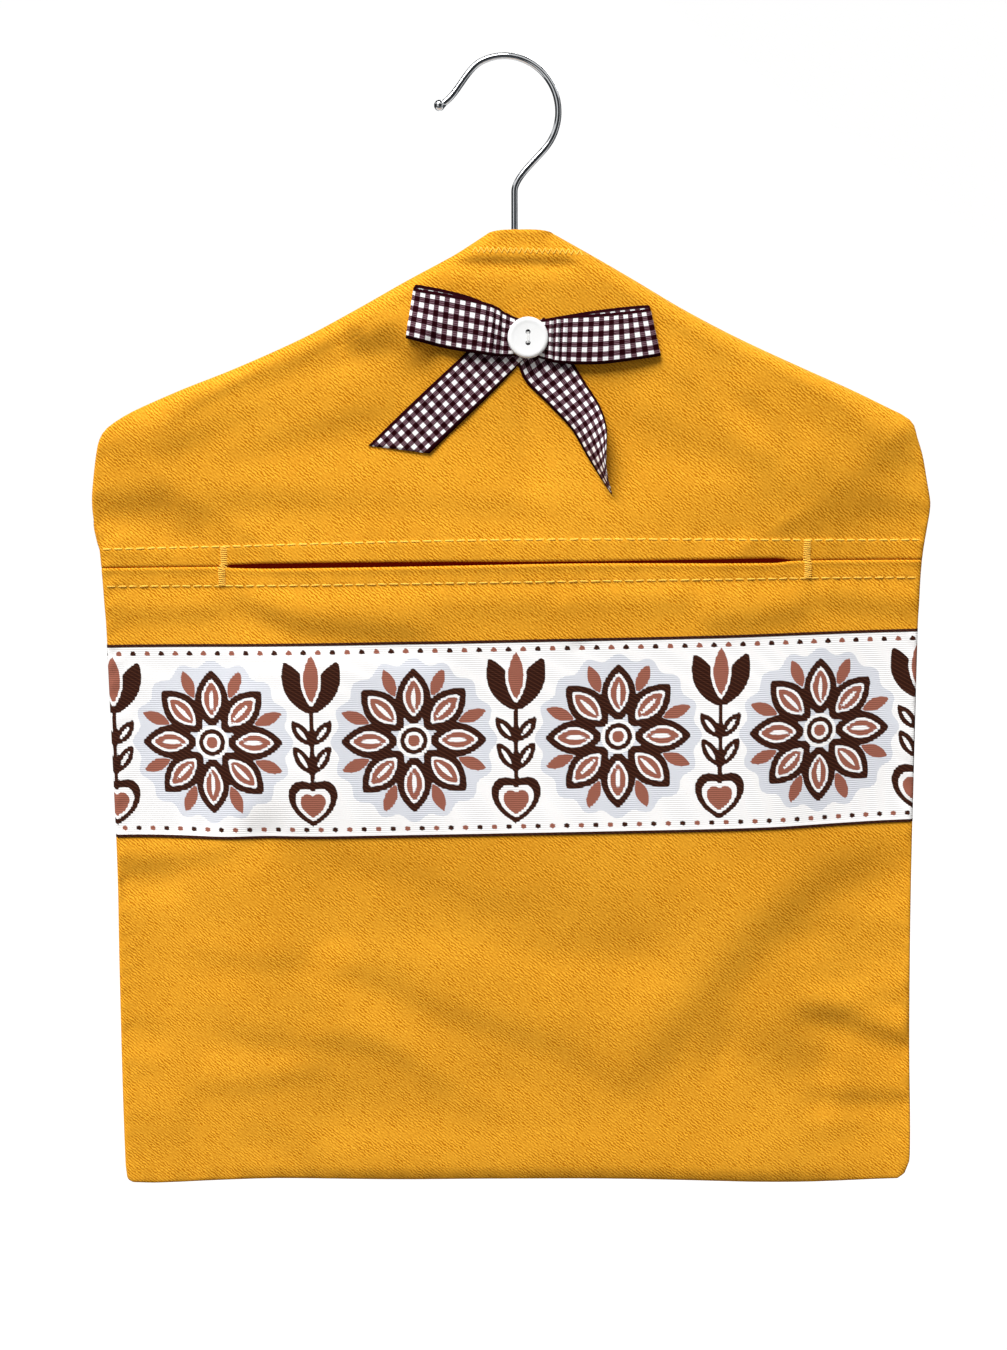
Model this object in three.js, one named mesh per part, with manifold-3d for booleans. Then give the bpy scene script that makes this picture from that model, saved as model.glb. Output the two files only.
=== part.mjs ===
// A peg bag: a cloth pouch sewn round a wooden coat hanger, with a slit mouth,
// a woven trim band, and a ribbon bow under a button.
// Millimetres, Z up. The front faces -Y. The origin is the inside of the hook's
// bend, straight above the shank.

import * as THREE from 'three';
import { mergeVertices } from 'three/addons/utils/BufferGeometryUtils.js';
import loadManifold from 'manifold-3d';

const wasm = await loadManifold();
wasm.setup();

// Driving dimensions, in millimetres and degrees.

// Hook, bent from round wire
const WIRE_DIAMETER = 3;
const BEND_RADIUS = 25;
const BEND_SETBACK = 4.5;
const BEND_START = -42;
const BEND_END = 115;
const SHANK_TOP_DROP = 59;
const SHANK_LEAD = 6;
const SWAN_LEAD = 9;
const TIP_REACH = 34.8;
const TIP_DROP = 20;
const TIP_SLOPE = 20;
const TIP_LEAD = 8.5;
const TIP_BALL_DIAMETER = 5;
const RIVET_DIAMETER = 7;
const RIVET_THICKNESS = 1.6;

// Wooden hanger inside the bag
const HANGER_THICKNESS = 13;
const HANGER_TOP_DROP = 94;
const HANGER_CENTRE_HEIGHT = 28;
const HANGER_END_HEIGHT = 17;
const HANGER_ARCH_HALF = 75;
const HANGER_END_INSET = 14;
const HANGER_BELOW_SEAM = 3.7;
const HANGER_ROUNDING = 6;
const RECESS_DEPTH = 5;
const RECESS_CLEARANCE = 1;
const WASHER_DIAMETER = 10;
const WASHER_THICKNESS = 1;

// Bag outline
const NECK_DROP = 78;
const NECK_WIDTH = 34;
const BAG_HEIGHT = 467;
const BAG_WIDTH = 400;
const SHOULDER_WIDTH = 376;
const SHOULDER_DROP = 87;
const SHOULDER_SAG = 5;
const SHOULDER_CORNER_DROP = 5;
const SHOULDER_CORNER_INSET = 3;
const WIDEST_DROP = 124;
const WAIST_WIDTH = 392;
const WAIST_DROP = 182;
const WAIST_EASE_SHARE = 0.4;
const WAIST_EASE_LEVEL = 0.25;
const HEM_WIDTH = 397;
const HEM_CORNER_RADIUS = 5;

// Cloth and how far it stands off the middle plane
const CLOTH_THICKNESS = 1;
const SEAM_GAP = 0.3;
const SEAT_GAP = 0.3;
const HANGER_EASE = 1;
const BELLY_DEPTH = 13.5;
const BELLY_DROP = 252;
const SHOULDER_REACH = 10;
const SIDE_REACH = 60;

// Slit mouth and its rows of stitches
const SLIT_DROP = 154.5;
const SLIT_WIDTH = 274;
const SLIT_GAP = 5;
const LIP_HEIGHT = 27;
const STITCH_OFFSET = 9;
const STITCH_SIDE_MARGIN = 3;
const THREAD_THICKNESS = 0.6;
const BAR_TACK_WIDTH = 3.2;
const BAR_TACK_HEIGHT = 16;
const ZIGZAG_DROP = 10;
const ZIGZAG_HEIGHT = 3;

// Woven band, sewn on a little askew
const BAND_BELOW_SLIT = 35.5;
const BAND_HEIGHT = 95.4;
const BAND_TILT = 0.95;
const BAND_THICKNESS = 0.6;

// Ribbon bow and button
const BOW_X = 5.9;
const BOW_DROP = 48.8;
const RIBBON_WIDTH = 24;
const RIBBON_PINCH = 17.5;
const RIBBON_THICKNESS = 0.8;
const LEFT_LOOP_LENGTH = 55;
const LEFT_LOOP_RISE = 12.5;
const RIGHT_LOOP_LENGTH = 59;
const RIGHT_LOOP_RISE = 4;
const LOOP_PUFF = 4;
const LOOP_FOLD = 2.4;
const TAIL_START_DROP = 4.4;
const LEFT_TAIL_LENGTH = 71;
const LEFT_TAIL_SLOPE = 43.5;
const LEFT_TAIL_CUT = 18;
// Right tail, from the knot to its tip: right of and below the bow's middle,
// width across, and how far its right edge curls forward
const RIGHT_TAIL = [
  [7.3, 4.4, 12, 0],
  [9.1, 13.2, 23, 0],
  [21.1, 30.2, 25, 1],
  [28.6, 47.2, 17, 8],
  [32.4, 62.2, 7.6, 11],
  [39.6, 73, 1.4, 6],
];
const BUTTON_DIAMETER = 19;
const BUTTON_THICKNESS = 3;
const BUTTON_DISH = 1;
const BUTTON_DISH_DIAMETER = 13;
const BUTTON_HOLE_DIAMETER = 2.2;
const BUTTON_HOLE_SPACING = 5;
const BUTTON_THREAD_DIAMETER = 1.4;

// Mesh fineness
const WIRE_SIDES = 5;
const WIRE_STEPS = 46;
const OUTLINE_STEPS = 8;
const ROUND_SIDES = 20;
const SMALL_ROUND_SIDES = 12;
const BALL_RINGS = 8;
const HANGER_SHOULDER_STEPS = 7;
const HANGER_ROUNDING_STEPS = 3;
const SHOULDER_ROW_STEP = 11;
const CLOTH_ROW_STEP = 24;

// Levels worked out from the driving dimensions
const NECK_Z = -NECK_DROP;
const SHOULDER_Z = NECK_Z - SHOULDER_DROP;
const WIDEST_Z = NECK_Z - WIDEST_DROP;
const WAIST_Z = NECK_Z - WAIST_DROP;
const BOTTOM_Z = NECK_Z - BAG_HEIGHT;
const BELLY_Z = NECK_Z - BELLY_DROP;
const SLIT_Z = NECK_Z - SLIT_DROP;
const SLIT_TOP_Z = SLIT_Z + SLIT_GAP / 2;
const SLIT_BOTTOM_Z = SLIT_Z - SLIT_GAP / 2;
const LIP_BOTTOM_Z = SLIT_BOTTOM_Z - LIP_HEIGHT;
const UPPER_STITCH_Z = SLIT_Z + STITCH_OFFSET;
const LOWER_STITCH_Z = SLIT_Z - STITCH_OFFSET;
const ZIGZAG_Z = NECK_Z - ZIGZAG_DROP;
const HANGER_TOP_Z = -HANGER_TOP_DROP;
const HANGER_BOTTOM_Z = HANGER_TOP_Z - HANGER_CENTRE_HEIGHT;
const CLOSED_Z = HANGER_TOP_Z - HANGER_ROUNDING / 2;
const NOTCH_HALF = SLIT_WIDTH / 2;
const WIRE_RADIUS = WIRE_DIAMETER / 2;
const BOW_Z = NECK_Z - BOW_DROP;

const radians = THREE.MathUtils.degToRad;
const { clamp, lerp, smoothstep } = THREE.MathUtils;

const group = new THREE.Group();

function addPart(name, geometry, finish) {
  const mesh = new THREE.Mesh(geometry, new THREE.MeshStandardMaterial(finish));
  mesh.name = name;
  group.add(mesh);
}

const OCHRE_TWILL = { color: 0xe39c2a, roughness: 0.9, metalness: 0 };
const OCHRE_THREAD = { color: 0xd08f1f, roughness: 0.8, metalness: 0 };
const BEECH = { color: 0xd8b483, roughness: 0.6, metalness: 0 };
const CHROME = { color: 0xd4d6d8, roughness: 0.15, metalness: 1 };
const WOVEN_TRIM = { color: 0xf2eeec, roughness: 0.85, metalness: 0 };
const GINGHAM = { color: 0x6b3a44, roughness: 0.8, metalness: 0 };
const SHELL = { color: 0xf6f5f0, roughness: 0.35, metalness: 0 };

// Booleans

function solidOf(geometry) {
  const bare = geometry.clone();
  bare.deleteAttribute('normal');
  bare.deleteAttribute('uv');
  const merged = mergeVertices(bare, 1e-4);
  const corners = merged.index.array;
  const kept = [];
  for (let i = 0; i < corners.length; i += 3) {
    const [a, b, c] = corners.slice(i, i + 3);
    if (a !== b && b !== c && c !== a) kept.push(a, b, c);
  }
  return new wasm.Manifold(new wasm.Mesh({
    numProp: 3,
    vertProperties: new Float32Array(merged.attributes.position.array),
    triVerts: new Uint32Array(kept),
  }));
}

function geometryOf(solid) {
  const mesh = solid.getMesh();
  const geometry = new THREE.BufferGeometry();
  geometry.setAttribute('position', new THREE.BufferAttribute(mesh.vertProperties, 3));
  geometry.setIndex(new THREE.BufferAttribute(mesh.triVerts, 1));
  return geometry;
}

function uprightCylinder(radius, lowZ, highZ, sides = ROUND_SIDES) {
  const geometry = new THREE.CylinderGeometry(radius, radius, highZ - lowZ, sides);
  return geometry.rotateX(Math.PI / 2).translate(0, 0, (lowZ + highZ) / 2);
}

function turned(profile) {
  return new THREE.LatheGeometry(profile.map(([r, y]) => new THREE.Vector2(r, y)), ROUND_SIDES);
}

// Closed bodies from a grid of cells, each with an outer and an inner face.
// Where a cell is left out, walls close the edge round it.

function sheetBody(columns, rows, outer, inner, present = () => true) {
  const positions = [];
  const triangles = [];
  const index = (i, j, side) => 2 * (j * (columns + 1) + i) + side;
  for (let j = 0; j <= rows; j += 1) {
    for (let i = 0; i <= columns; i += 1) {
      positions.push(...outer(i, j), ...inner(i, j));
    }
  }
  const quad = (a, b, c, d) => triangles.push(a, b, c, a, c, d);
  const holds = (i, j) => i >= 0 && j >= 0 && i < columns && j < rows && present(i, j);
  for (let j = 0; j < rows; j += 1) {
    for (let i = 0; i < columns; i += 1) {
      if (!holds(i, j)) continue;
      const ring = [[i, j], [i + 1, j], [i + 1, j + 1], [i, j + 1]];
      const beyond = [[i, j - 1], [i + 1, j], [i, j + 1], [i - 1, j]];
      quad(...ring.map(([a, b]) => index(a, b, 0)));
      const [first, second, third, fourth] = ring.map(([a, b]) => index(a, b, 1));
      quad(first, fourth, third, second);
      ring.forEach(([a, b], side) => {
        const [c, d] = ring[(side + 1) % 4];
        if (holds(...beyond[side])) return;
        quad(index(c, d, 0), index(a, b, 0), index(a, b, 1), index(c, d, 1));
      });
    }
  }
  return closedGeometry(positions, triangles);
}

// Turns the faces outwards, whichever way round the grid was walked.
function closedGeometry(positions, triangles) {
  const corner = (k) => new THREE.Vector3().fromArray(positions, 3 * triangles[k]);
  let volume = 0;
  for (let k = 0; k < triangles.length; k += 3) {
    volume += corner(k).dot(corner(k + 1).cross(corner(k + 2)));
  }
  if (volume < 0) triangles.reverse();
  const geometry = new THREE.BufferGeometry();
  geometry.setAttribute('position', new THREE.Float32BufferAttribute(positions, 3));
  geometry.setIndex(triangles);
  return mergeVertices(geometry, 1e-4);
}

// Outline of the bag's right half, from the neck's corner down to the hem's middle

function shoulderCurve() {
  const neck = new THREE.Vector2(NECK_WIDTH / 2, NECK_Z);
  const end = new THREE.Vector2(SHOULDER_WIDTH / 2, SHOULDER_Z);
  const along = end.clone().sub(neck).normalize();
  const control = neck.clone().lerp(end, 0.5);
  control.add(new THREE.Vector2(along.y, -along.x).multiplyScalar(2 * SHOULDER_SAG));
  return new THREE.QuadraticBezierCurve(neck, control, end);
}

function bagOutline() {
  const bagHalf = BAG_WIDTH / 2;
  const waistHalf = WAIST_WIDTH / 2;
  const hemHalf = HEM_WIDTH / 2;
  const cornerX = bagHalf - SHOULDER_CORNER_INSET;
  const waistControlX = lerp(waistHalf, bagHalf, WAIST_EASE_SHARE);
  const waistControlZ = lerp(WIDEST_Z, WAIST_Z, WAIST_EASE_LEVEL);
  const outline = new THREE.Path();
  outline.curves.push(shoulderCurve());
  outline.currentPoint.set(SHOULDER_WIDTH / 2, SHOULDER_Z);
  outline.quadraticCurveTo(cornerX, SHOULDER_Z - SHOULDER_CORNER_DROP, bagHalf, WIDEST_Z);
  outline.quadraticCurveTo(waistControlX, waistControlZ, waistHalf, WAIST_Z);
  outline.lineTo(hemHalf, BOTTOM_Z + HEM_CORNER_RADIUS);
  const arcX = hemHalf - HEM_CORNER_RADIUS;
  outline.absarc(arcX, BOTTOM_Z + HEM_CORNER_RADIUS, HEM_CORNER_RADIUS, 0, -Math.PI / 2, true);
  outline.lineTo(0, BOTTOM_Z);
  return outline.getPoints(OUTLINE_STEPS);
}

const OUTLINE = bagOutline();

function halfWidth(z) {
  const last = OUTLINE.length - 2;
  for (let k = 0; k < last; k += 1) {
    const [upper, lower] = [OUTLINE[k], OUTLINE[k + 1]];
    const drop = upper.y - lower.y;
    if (z >= lower.y && drop > 0) return lerp(upper.x, lower.x, clamp((upper.y - z) / drop, 0, 1));
  }
  return OUTLINE[last].x;
}

function edgeDistance(x, z) {
  const point = new THREE.Vector2(Math.abs(x), z);
  let nearest = Infinity;
  for (let k = 0; k + 1 < OUTLINE.length; k += 1) {
    const start = OUTLINE[k];
    const run = OUTLINE[k + 1].clone().sub(start);
    const share = clamp(point.clone().sub(start).dot(run) / run.lengthSq(), 0, 1);
    nearest = Math.min(nearest, point.distanceTo(start.clone().addScaledVector(run, share)));
  }
  return nearest;
}

// How far the cloth's inner face stands off the middle plane

const SHOULDER_CROWN = HANGER_THICKNESS / 2 + HANGER_EASE;
const NECK_CROWN = WIRE_RADIUS + SEAT_GAP;

function standOff(x, z, bellyCrown) {
  const neckShare = clamp((NECK_Z - z) / (NECK_Z - CLOSED_Z), 0, 1);
  const bellyShare = smoothstep(SHOULDER_Z - z, 0, SHOULDER_Z - BELLY_Z);
  const crown = lerp(lerp(NECK_CROWN, SHOULDER_CROWN, neckShare), bellyCrown, bellyShare);
  const reach = lerp(SHOULDER_REACH, SIDE_REACH, smoothstep(SHOULDER_Z - z, 0, SHOULDER_Z - SLIT_Z));
  const share = Math.min(1, edgeDistance(x, z) / reach);
  return SEAM_GAP / 2 + crown * Math.sin(share * Math.PI / 2);
}

const frontInside = (x, z) => -standOff(x, z, BELLY_DEPTH);
const frontFace = (x, z) => frontInside(x, z) - CLOTH_THICKNESS;
const backInside = (x, z) => standOff(x, z, SHOULDER_CROWN);
const backFace = (x, z) => backInside(x, z) + CLOTH_THICKNESS;

// Rows between named levels, no further apart than a step

function rowsThrough(levels, step) {
  const sorted = [...new Set(levels)].sort((a, b) => b - a);
  const rows = [sorted[0]];
  for (let k = 1; k < sorted.length; k += 1) {
    const parts = Math.ceil((sorted[k - 1] - sorted[k]) / step);
    for (let p = 1; p <= parts; p += 1) rows.push(lerp(sorted[k - 1], sorted[k], p / parts));
  }
  return rows;
}

const mirrored = (shares) => [...shares.slice(1).reverse().map((s) => -s), ...shares];

// Columns that run beside the seams, drawn together where the bag is narrow,
// and columns that keep the slit's ends
const SEAM_STEPS = [0, 5, 11, 18, 26, 42, 64];
const FULL_SPREAD = 100;
const SIDE_SHARES = [0.3, 0.55, 0.75, 0.9, 1];
const MIDDLE_SHARES = mirrored([0, 0.34, 0.67, 1]);

function spreadColumns(z) {
  const half = halfWidth(z);
  const draw = Math.min(1, half / FULL_SPREAD);
  const besideSeam = SEAM_STEPS.map((step) => half - step * draw).reverse();
  return mirrored([0, besideSeam[0] / 2, ...besideSeam]);
}

function slitColumns(z) {
  const side = SIDE_SHARES.map((share) => lerp(NOTCH_HALF, halfWidth(z), share));
  const middle = MIDDLE_SHARES.map((share) => share * NOTCH_HALF);
  return [...side.map((x) => -x).reverse(), ...middle, ...side];
}

function clothPanel(rows, columnsAt, inside, face, present) {
  const grid = rows.map((z) => columnsAt(z).map((x) => [x, z]));
  const point = (surface) => (i, j) => {
    const [x, z] = grid[j][i];
    return [x, surface(x, z), z];
  };
  return sheetBody(grid[0].length - 1, rows.length - 1, point(face), point(inside), present);
}

// Flat trim that lies on the cloth, a seat gap in front of it.
// side is -1 on the front and +1 on the back.
function trimOnCloth(columns, topAt, bottomAt, face, thickness, side = -1, rows = 1) {
  const point = (lift) => (i, j) => {
    const x = columns[i];
    const z = lerp(topAt(x), bottomAt(x), j / rows);
    return [x, face(x, z) + side * lift, z];
  };
  return sheetBody(columns.length - 1, rows, point(SEAT_GAP + thickness), point(SEAT_GAP));
}

function threadRow(columns, z, height = THREAD_THICKNESS, face = frontFace, side = -1) {
  const top = () => z + height / 2;
  const bottom = () => z - height / 2;
  return trimOnCloth(columns, top, bottom, face, THREAD_THICKNESS, side);
}

const within = (columns, low, high) => [low, ...columns.filter((x) => x > low && x < high), high];

// Hook: shank, swan neck, round bend and flared tip, with a ball and a riveted end

const RECESS_TOP_Z = HANGER_BOTTOM_Z + RECESS_DEPTH;
const WASHER_TOP_Z = RECESS_TOP_Z - SEAT_GAP;
const RIVET_TOP_Z = WASHER_TOP_Z - WASHER_THICKNESS - SEAT_GAP;
const RIVET_BOTTOM_Z = RIVET_TOP_Z - RIVET_THICKNESS;

class HookLine extends THREE.Curve {
  constructor() {
    super();
    const insideRadius = BEND_RADIUS - WIRE_RADIUS;
    const centreZ = -Math.sqrt(insideRadius ** 2 - BEND_SETBACK ** 2);
    const start = radians(BEND_START);
    const end = radians(BEND_END);
    const onBend = (angle) => new THREE.Vector2(Math.cos(angle), Math.sin(angle))
      .multiplyScalar(BEND_RADIUS).add(new THREE.Vector2(-BEND_SETBACK, centreZ));
    const alongBend = (angle) => new THREE.Vector2(-Math.sin(angle), Math.cos(angle));
    const shankTop = new THREE.Vector2(0, -SHANK_TOP_DROP);
    const swanEnd = onBend(start);
    const swanControl = swanEnd.clone().addScaledVector(alongBend(start), -SWAN_LEAD);
    const flareControl = onBend(end).addScaledVector(alongBend(end), TIP_LEAD);
    const tip = new THREE.Vector2(-TIP_REACH, -TIP_DROP);
    const tipSlope = radians(TIP_SLOPE);
    const tipControl = tip.clone()
      .addScaledVector(new THREE.Vector2(Math.cos(tipSlope), Math.sin(tipSlope)), TIP_LEAD);
    this.tip = tip;
    this.path = new THREE.Path();
    this.path.moveTo(0, RIVET_TOP_Z);
    this.path.lineTo(shankTop.x, shankTop.y);
    this.path.bezierCurveTo(shankTop.x, shankTop.y + SHANK_LEAD,
      swanControl.x, swanControl.y, swanEnd.x, swanEnd.y);
    this.path.absarc(-BEND_SETBACK, centreZ, BEND_RADIUS, start, end, false);
    this.path.bezierCurveTo(flareControl.x, flareControl.y,
      tipControl.x, tipControl.y, tip.x, tip.y);
  }

  getPoint(t, target = new THREE.Vector3()) {
    const point = this.path.getPoint(t);
    return target.set(point.x, 0, point.y);
  }
}

function hook() {
  const line = new HookLine();
  const section = new THREE.Shape().absarc(0, 0, WIRE_RADIUS, 0, 2 * Math.PI, false);
  const wire = new THREE.ExtrudeGeometry(section, {
    steps: WIRE_STEPS,
    curveSegments: WIRE_SIDES,
    extrudePath: line,
    bevelEnabled: false,
  });
  const ball = new THREE.SphereGeometry(TIP_BALL_DIAMETER / 2, SMALL_ROUND_SIDES, BALL_RINGS)
    .translate(line.tip.x, 0, line.tip.y);
  const overlap = RIVET_THICKNESS / 2;
  const rivet = uprightCylinder(RIVET_DIAMETER / 2, RIVET_BOTTOM_Z, RIVET_TOP_Z);
  const stub = uprightCylinder(WIRE_RADIUS, RIVET_TOP_Z - overlap, RIVET_TOP_Z + overlap,
    2 * WIRE_SIDES);
  return geometryOf(solidOf(wire).add(solidOf(stub)).add(solidOf(rivet)).add(solidOf(ball)));
}

function washer() {
  const inside = WIRE_RADIUS + SEAT_GAP;
  const outside = WASHER_DIAMETER / 2;
  const low = WASHER_TOP_Z - WASHER_THICKNESS;
  const profile = [
    [inside, low], [outside, low], [outside, WASHER_TOP_Z], [inside, WASHER_TOP_Z], [inside, low],
  ];
  return turned(profile).rotateX(Math.PI / 2);
}

// Hanger: its shoulders run just under the bag's shoulder seams

function hangerOutline() {
  const shoulder = shoulderCurve();
  const under = (t) => {
    const tangent = shoulder.getTangent(t);
    const inward = new THREE.Vector2(tangent.y, -tangent.x);
    return shoulder.getPoint(t).addScaledVector(inward, HANGER_BELOW_SEAM);
  };
  const shareAt = (x) => (x - NECK_WIDTH / 2) / (SHOULDER_WIDTH / 2 - NECK_WIDTH / 2);
  const firstShare = shareAt(HANGER_ARCH_HALF);
  const lastShare = shareAt(SHOULDER_WIDTH / 2 - HANGER_END_INSET);
  const archEnd = under(firstShare);
  const archTangent = shoulder.getTangent(firstShare);
  const archControlX = archEnd.x - (HANGER_TOP_Z - archEnd.y) / -archTangent.y * archTangent.x;
  const right = new THREE.Path();
  right.moveTo(0, HANGER_TOP_Z);
  right.quadraticCurveTo(archControlX, HANGER_TOP_Z, archEnd.x, archEnd.y);
  for (let k = 1; k <= HANGER_SHOULDER_STEPS; k += 1) {
    const point = under(lerp(firstShare, lastShare, k / HANGER_SHOULDER_STEPS));
    right.lineTo(point.x, point.y);
  }
  const end = under(lastShare);
  const endTangent = shoulder.getTangent(lastShare);
  const bulge = HANGER_END_HEIGHT / 2;
  const inward = new THREE.Vector2(endTangent.y, -endTangent.x);
  const endLow = end.clone().addScaledVector(inward, HANGER_END_HEIGHT);
  const bulgeHigh = end.clone().addScaledVector(endTangent, bulge);
  const bulgeLow = endLow.clone().addScaledVector(endTangent, bulge);
  right.bezierCurveTo(bulgeHigh.x, bulgeHigh.y, bulgeLow.x, bulgeLow.y, endLow.x, endLow.y);
  const underControlX = endLow.x - (HANGER_BOTTOM_Z - endLow.y) / -endTangent.y * endTangent.x;
  right.quadraticCurveTo(Math.max(0, underControlX), HANGER_BOTTOM_Z, 0, HANGER_BOTTOM_Z);
  const half = right.getPoints(OUTLINE_STEPS);
  const left = half.slice(1, -1).reverse().map((p) => new THREE.Vector2(-p.x, p.y));
  return new THREE.Shape([...half, ...left]);
}

function hangerBody() {
  const bar = new THREE.ExtrudeGeometry(hangerOutline(), {
    depth: HANGER_THICKNESS - 2 * HANGER_ROUNDING,
    bevelEnabled: true,
    bevelThickness: HANGER_ROUNDING,
    bevelSize: HANGER_ROUNDING,
    bevelOffset: -HANGER_ROUNDING,
    bevelSegments: HANGER_ROUNDING_STEPS,
  });
  bar.translate(0, 0, HANGER_ROUNDING - HANGER_THICKNESS / 2);
  bar.rotateX(Math.PI / 2);
  const boreRadius = WIRE_RADIUS + SEAT_GAP;
  const recessRadius = WASHER_DIAMETER / 2 + RECESS_CLEARANCE;
  const bore = uprightCylinder(boreRadius, RECESS_TOP_Z - RECESS_CLEARANCE, HANGER_TOP_Z + HANGER_ROUNDING,
    SMALL_ROUND_SIDES);
  const recess = uprightCylinder(recessRadius, HANGER_BOTTOM_Z - HANGER_ROUNDING, RECESS_TOP_Z);
  return geometryOf(solidOf(bar).subtract(solidOf(bore)).subtract(solidOf(recess)));
}

// Bow: ribbons swept through stations, each with a centre and half a width across

function ribbonBody(stations) {
  const corners = stations.map(({ centre, across }, k) => {
    const before = stations[Math.max(0, k - 1)].centre;
    const after = stations[Math.min(stations.length - 1, k + 1)].centre;
    const lift = after.clone().sub(before).cross(across).setLength(RIBBON_THICKNESS / 2);
    return { centre, across, lift };
  });
  const point = (sign) => (i, j) => {
    const { centre, across, lift } = corners[j];
    return centre.clone().addScaledVector(across, 2 * i - 1).addScaledVector(lift, sign).toArray();
  };
  return sheetBody(1, stations.length - 1, point(1), point(-1));
}

const BOW_FACE_Y = frontFace(BOW_X, BOW_Z);
const TAIL_Y = BOW_FACE_Y - SEAT_GAP - RIBBON_THICKNESS / 2;
const LOOP_BACK_Y = TAIL_Y - SEAT_GAP - RIBBON_THICKNESS;
const LOOP_FRONT_Y = LOOP_BACK_Y - SEAT_GAP - RIBBON_THICKNESS;
const BUTTON_BACK_Y = LOOP_FRONT_Y - SEAT_GAP - RIBBON_THICKNESS / 2;

function loopStations(side, length, rise) {
  const along = new THREE.Vector3(side * Math.cos(radians(rise)), 0, Math.sin(radians(rise)));
  const across = new THREE.Vector3(-along.z * side, 0, along.x * side);
  const halfAt = (s) => lerp(RIBBON_PINCH, RIBBON_WIDTH, smoothstep(s, 0, length / 2)) / 2;
  const station = (s, y) => ({
    centre: new THREE.Vector3(BOW_X, y, BOW_Z).addScaledVector(along, s),
    across: across.clone().multiplyScalar(halfAt(s)),
  });
  const rest = LOOP_BACK_Y - LOOP_FRONT_Y;
  const foldStart = length - LOOP_FOLD / 2;
  const openAt = (s) => {
    const share = clamp((s - BUTTON_DIAMETER / 2) / (foldStart - BUTTON_DIAMETER / 2), 0, 1);
    return rest + LOOP_PUFF * Math.sin(share * Math.PI) + (LOOP_FOLD - rest) * share;
  };
  const back = [RIBBON_THICKNESS, length / 3, 2 * length / 3, foldStart]
    .map((s) => station(s, LOOP_BACK_Y));
  const fold = [station(length, LOOP_BACK_Y - LOOP_FOLD / 2)];
  const flat = BUTTON_DIAMETER / 2 + RIBBON_THICKNESS;
  const front = [1, 0.84, 0.66, 0.46, 0.24, 0]
    .map((share) => lerp(flat, foldStart, share))
    .map((s) => station(s, LOOP_BACK_Y - openAt(s)));
  return [...back, ...fold, ...front];
}

function bowLoops() {
  const middle = {
    centre: new THREE.Vector3(BOW_X, LOOP_FRONT_Y, BOW_Z),
    across: new THREE.Vector3(0, 0, RIBBON_PINCH / 2),
  };
  const left = loopStations(-1, LEFT_LOOP_LENGTH, LEFT_LOOP_RISE);
  const right = loopStations(1, RIGHT_LOOP_LENGTH, RIGHT_LOOP_RISE);
  return ribbonBody([...left, middle, ...right.reverse()]);
}

// A tail's stations lie on the cloth in front of the bag
function tailStation(x, z, acrossX, acrossZ, lift = 0) {
  const y = frontFace(x, z) - SEAT_GAP - RIBBON_THICKNESS / 2;
  return {
    centre: new THREE.Vector3(x, y - lift / 2, z),
    across: new THREE.Vector3(acrossX, -lift / 2, acrossZ),
  };
}

function leftTail() {
  const slope = radians(LEFT_TAIL_SLOPE);
  const along = new THREE.Vector2(-Math.cos(slope), -Math.sin(slope));
  const across = new THREE.Vector2(-along.y, along.x).negate();
  const half = RIBBON_WIDTH / 2;
  const startX = BOW_X - RIBBON_PINCH / 2;
  const startZ = BOW_Z - TAIL_START_DROP;
  const at = (s, width, skew) => {
    const centre = new THREE.Vector2(startX, startZ).addScaledVector(along, s);
    const reach = across.clone().multiplyScalar(width).addScaledVector(along, skew);
    return tailStation(centre.x, centre.y, reach.x, reach.y);
  };
  return ribbonBody([
    at(0, RIBBON_PINCH / 2, 0),
    at(LEFT_TAIL_LENGTH / 5, half, 0),
    at(LEFT_TAIL_LENGTH / 2, half, 0),
    at(LEFT_TAIL_LENGTH, half, LEFT_TAIL_CUT / 2),
  ]);
}

function rightTail() {
  return ribbonBody(RIGHT_TAIL.map(([right, below, width, curl]) => (
    tailStation(BOW_X + right, BOW_Z - below, width / 2, 0, curl)
  )));
}

// Button, dished, with two holes one above the other, and its thread

function button() {
  const radius = BUTTON_DIAMETER / 2;
  const edge = BUTTON_THICKNESS / 4;
  const dishRadius = BUTTON_DISH_DIAMETER / 2;
  const front = BUTTON_THICKNESS;
  const profile = [
    [0, 0], [radius - edge, 0], [radius, edge], [radius, front - edge], [radius - edge, front],
    [dishRadius, front], [dishRadius - BUTTON_DISH, front - BUTTON_DISH], [0, front - BUTTON_DISH],
  ];
  const disc = turned(profile);
  const hole = (z) => new THREE.CylinderGeometry(BUTTON_HOLE_DIAMETER / 2, BUTTON_HOLE_DIAMETER / 2,
    3 * BUTTON_THICKNESS, SMALL_ROUND_SIDES).translate(0, 0, z);
  const half = BUTTON_HOLE_SPACING / 2;
  const drilled = solidOf(disc).subtract(solidOf(hole(half))).subtract(solidOf(hole(-half)));
  return geometryOf(drilled).rotateX(Math.PI).translate(BOW_X, BUTTON_BACK_Y, BOW_Z);
}

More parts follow.
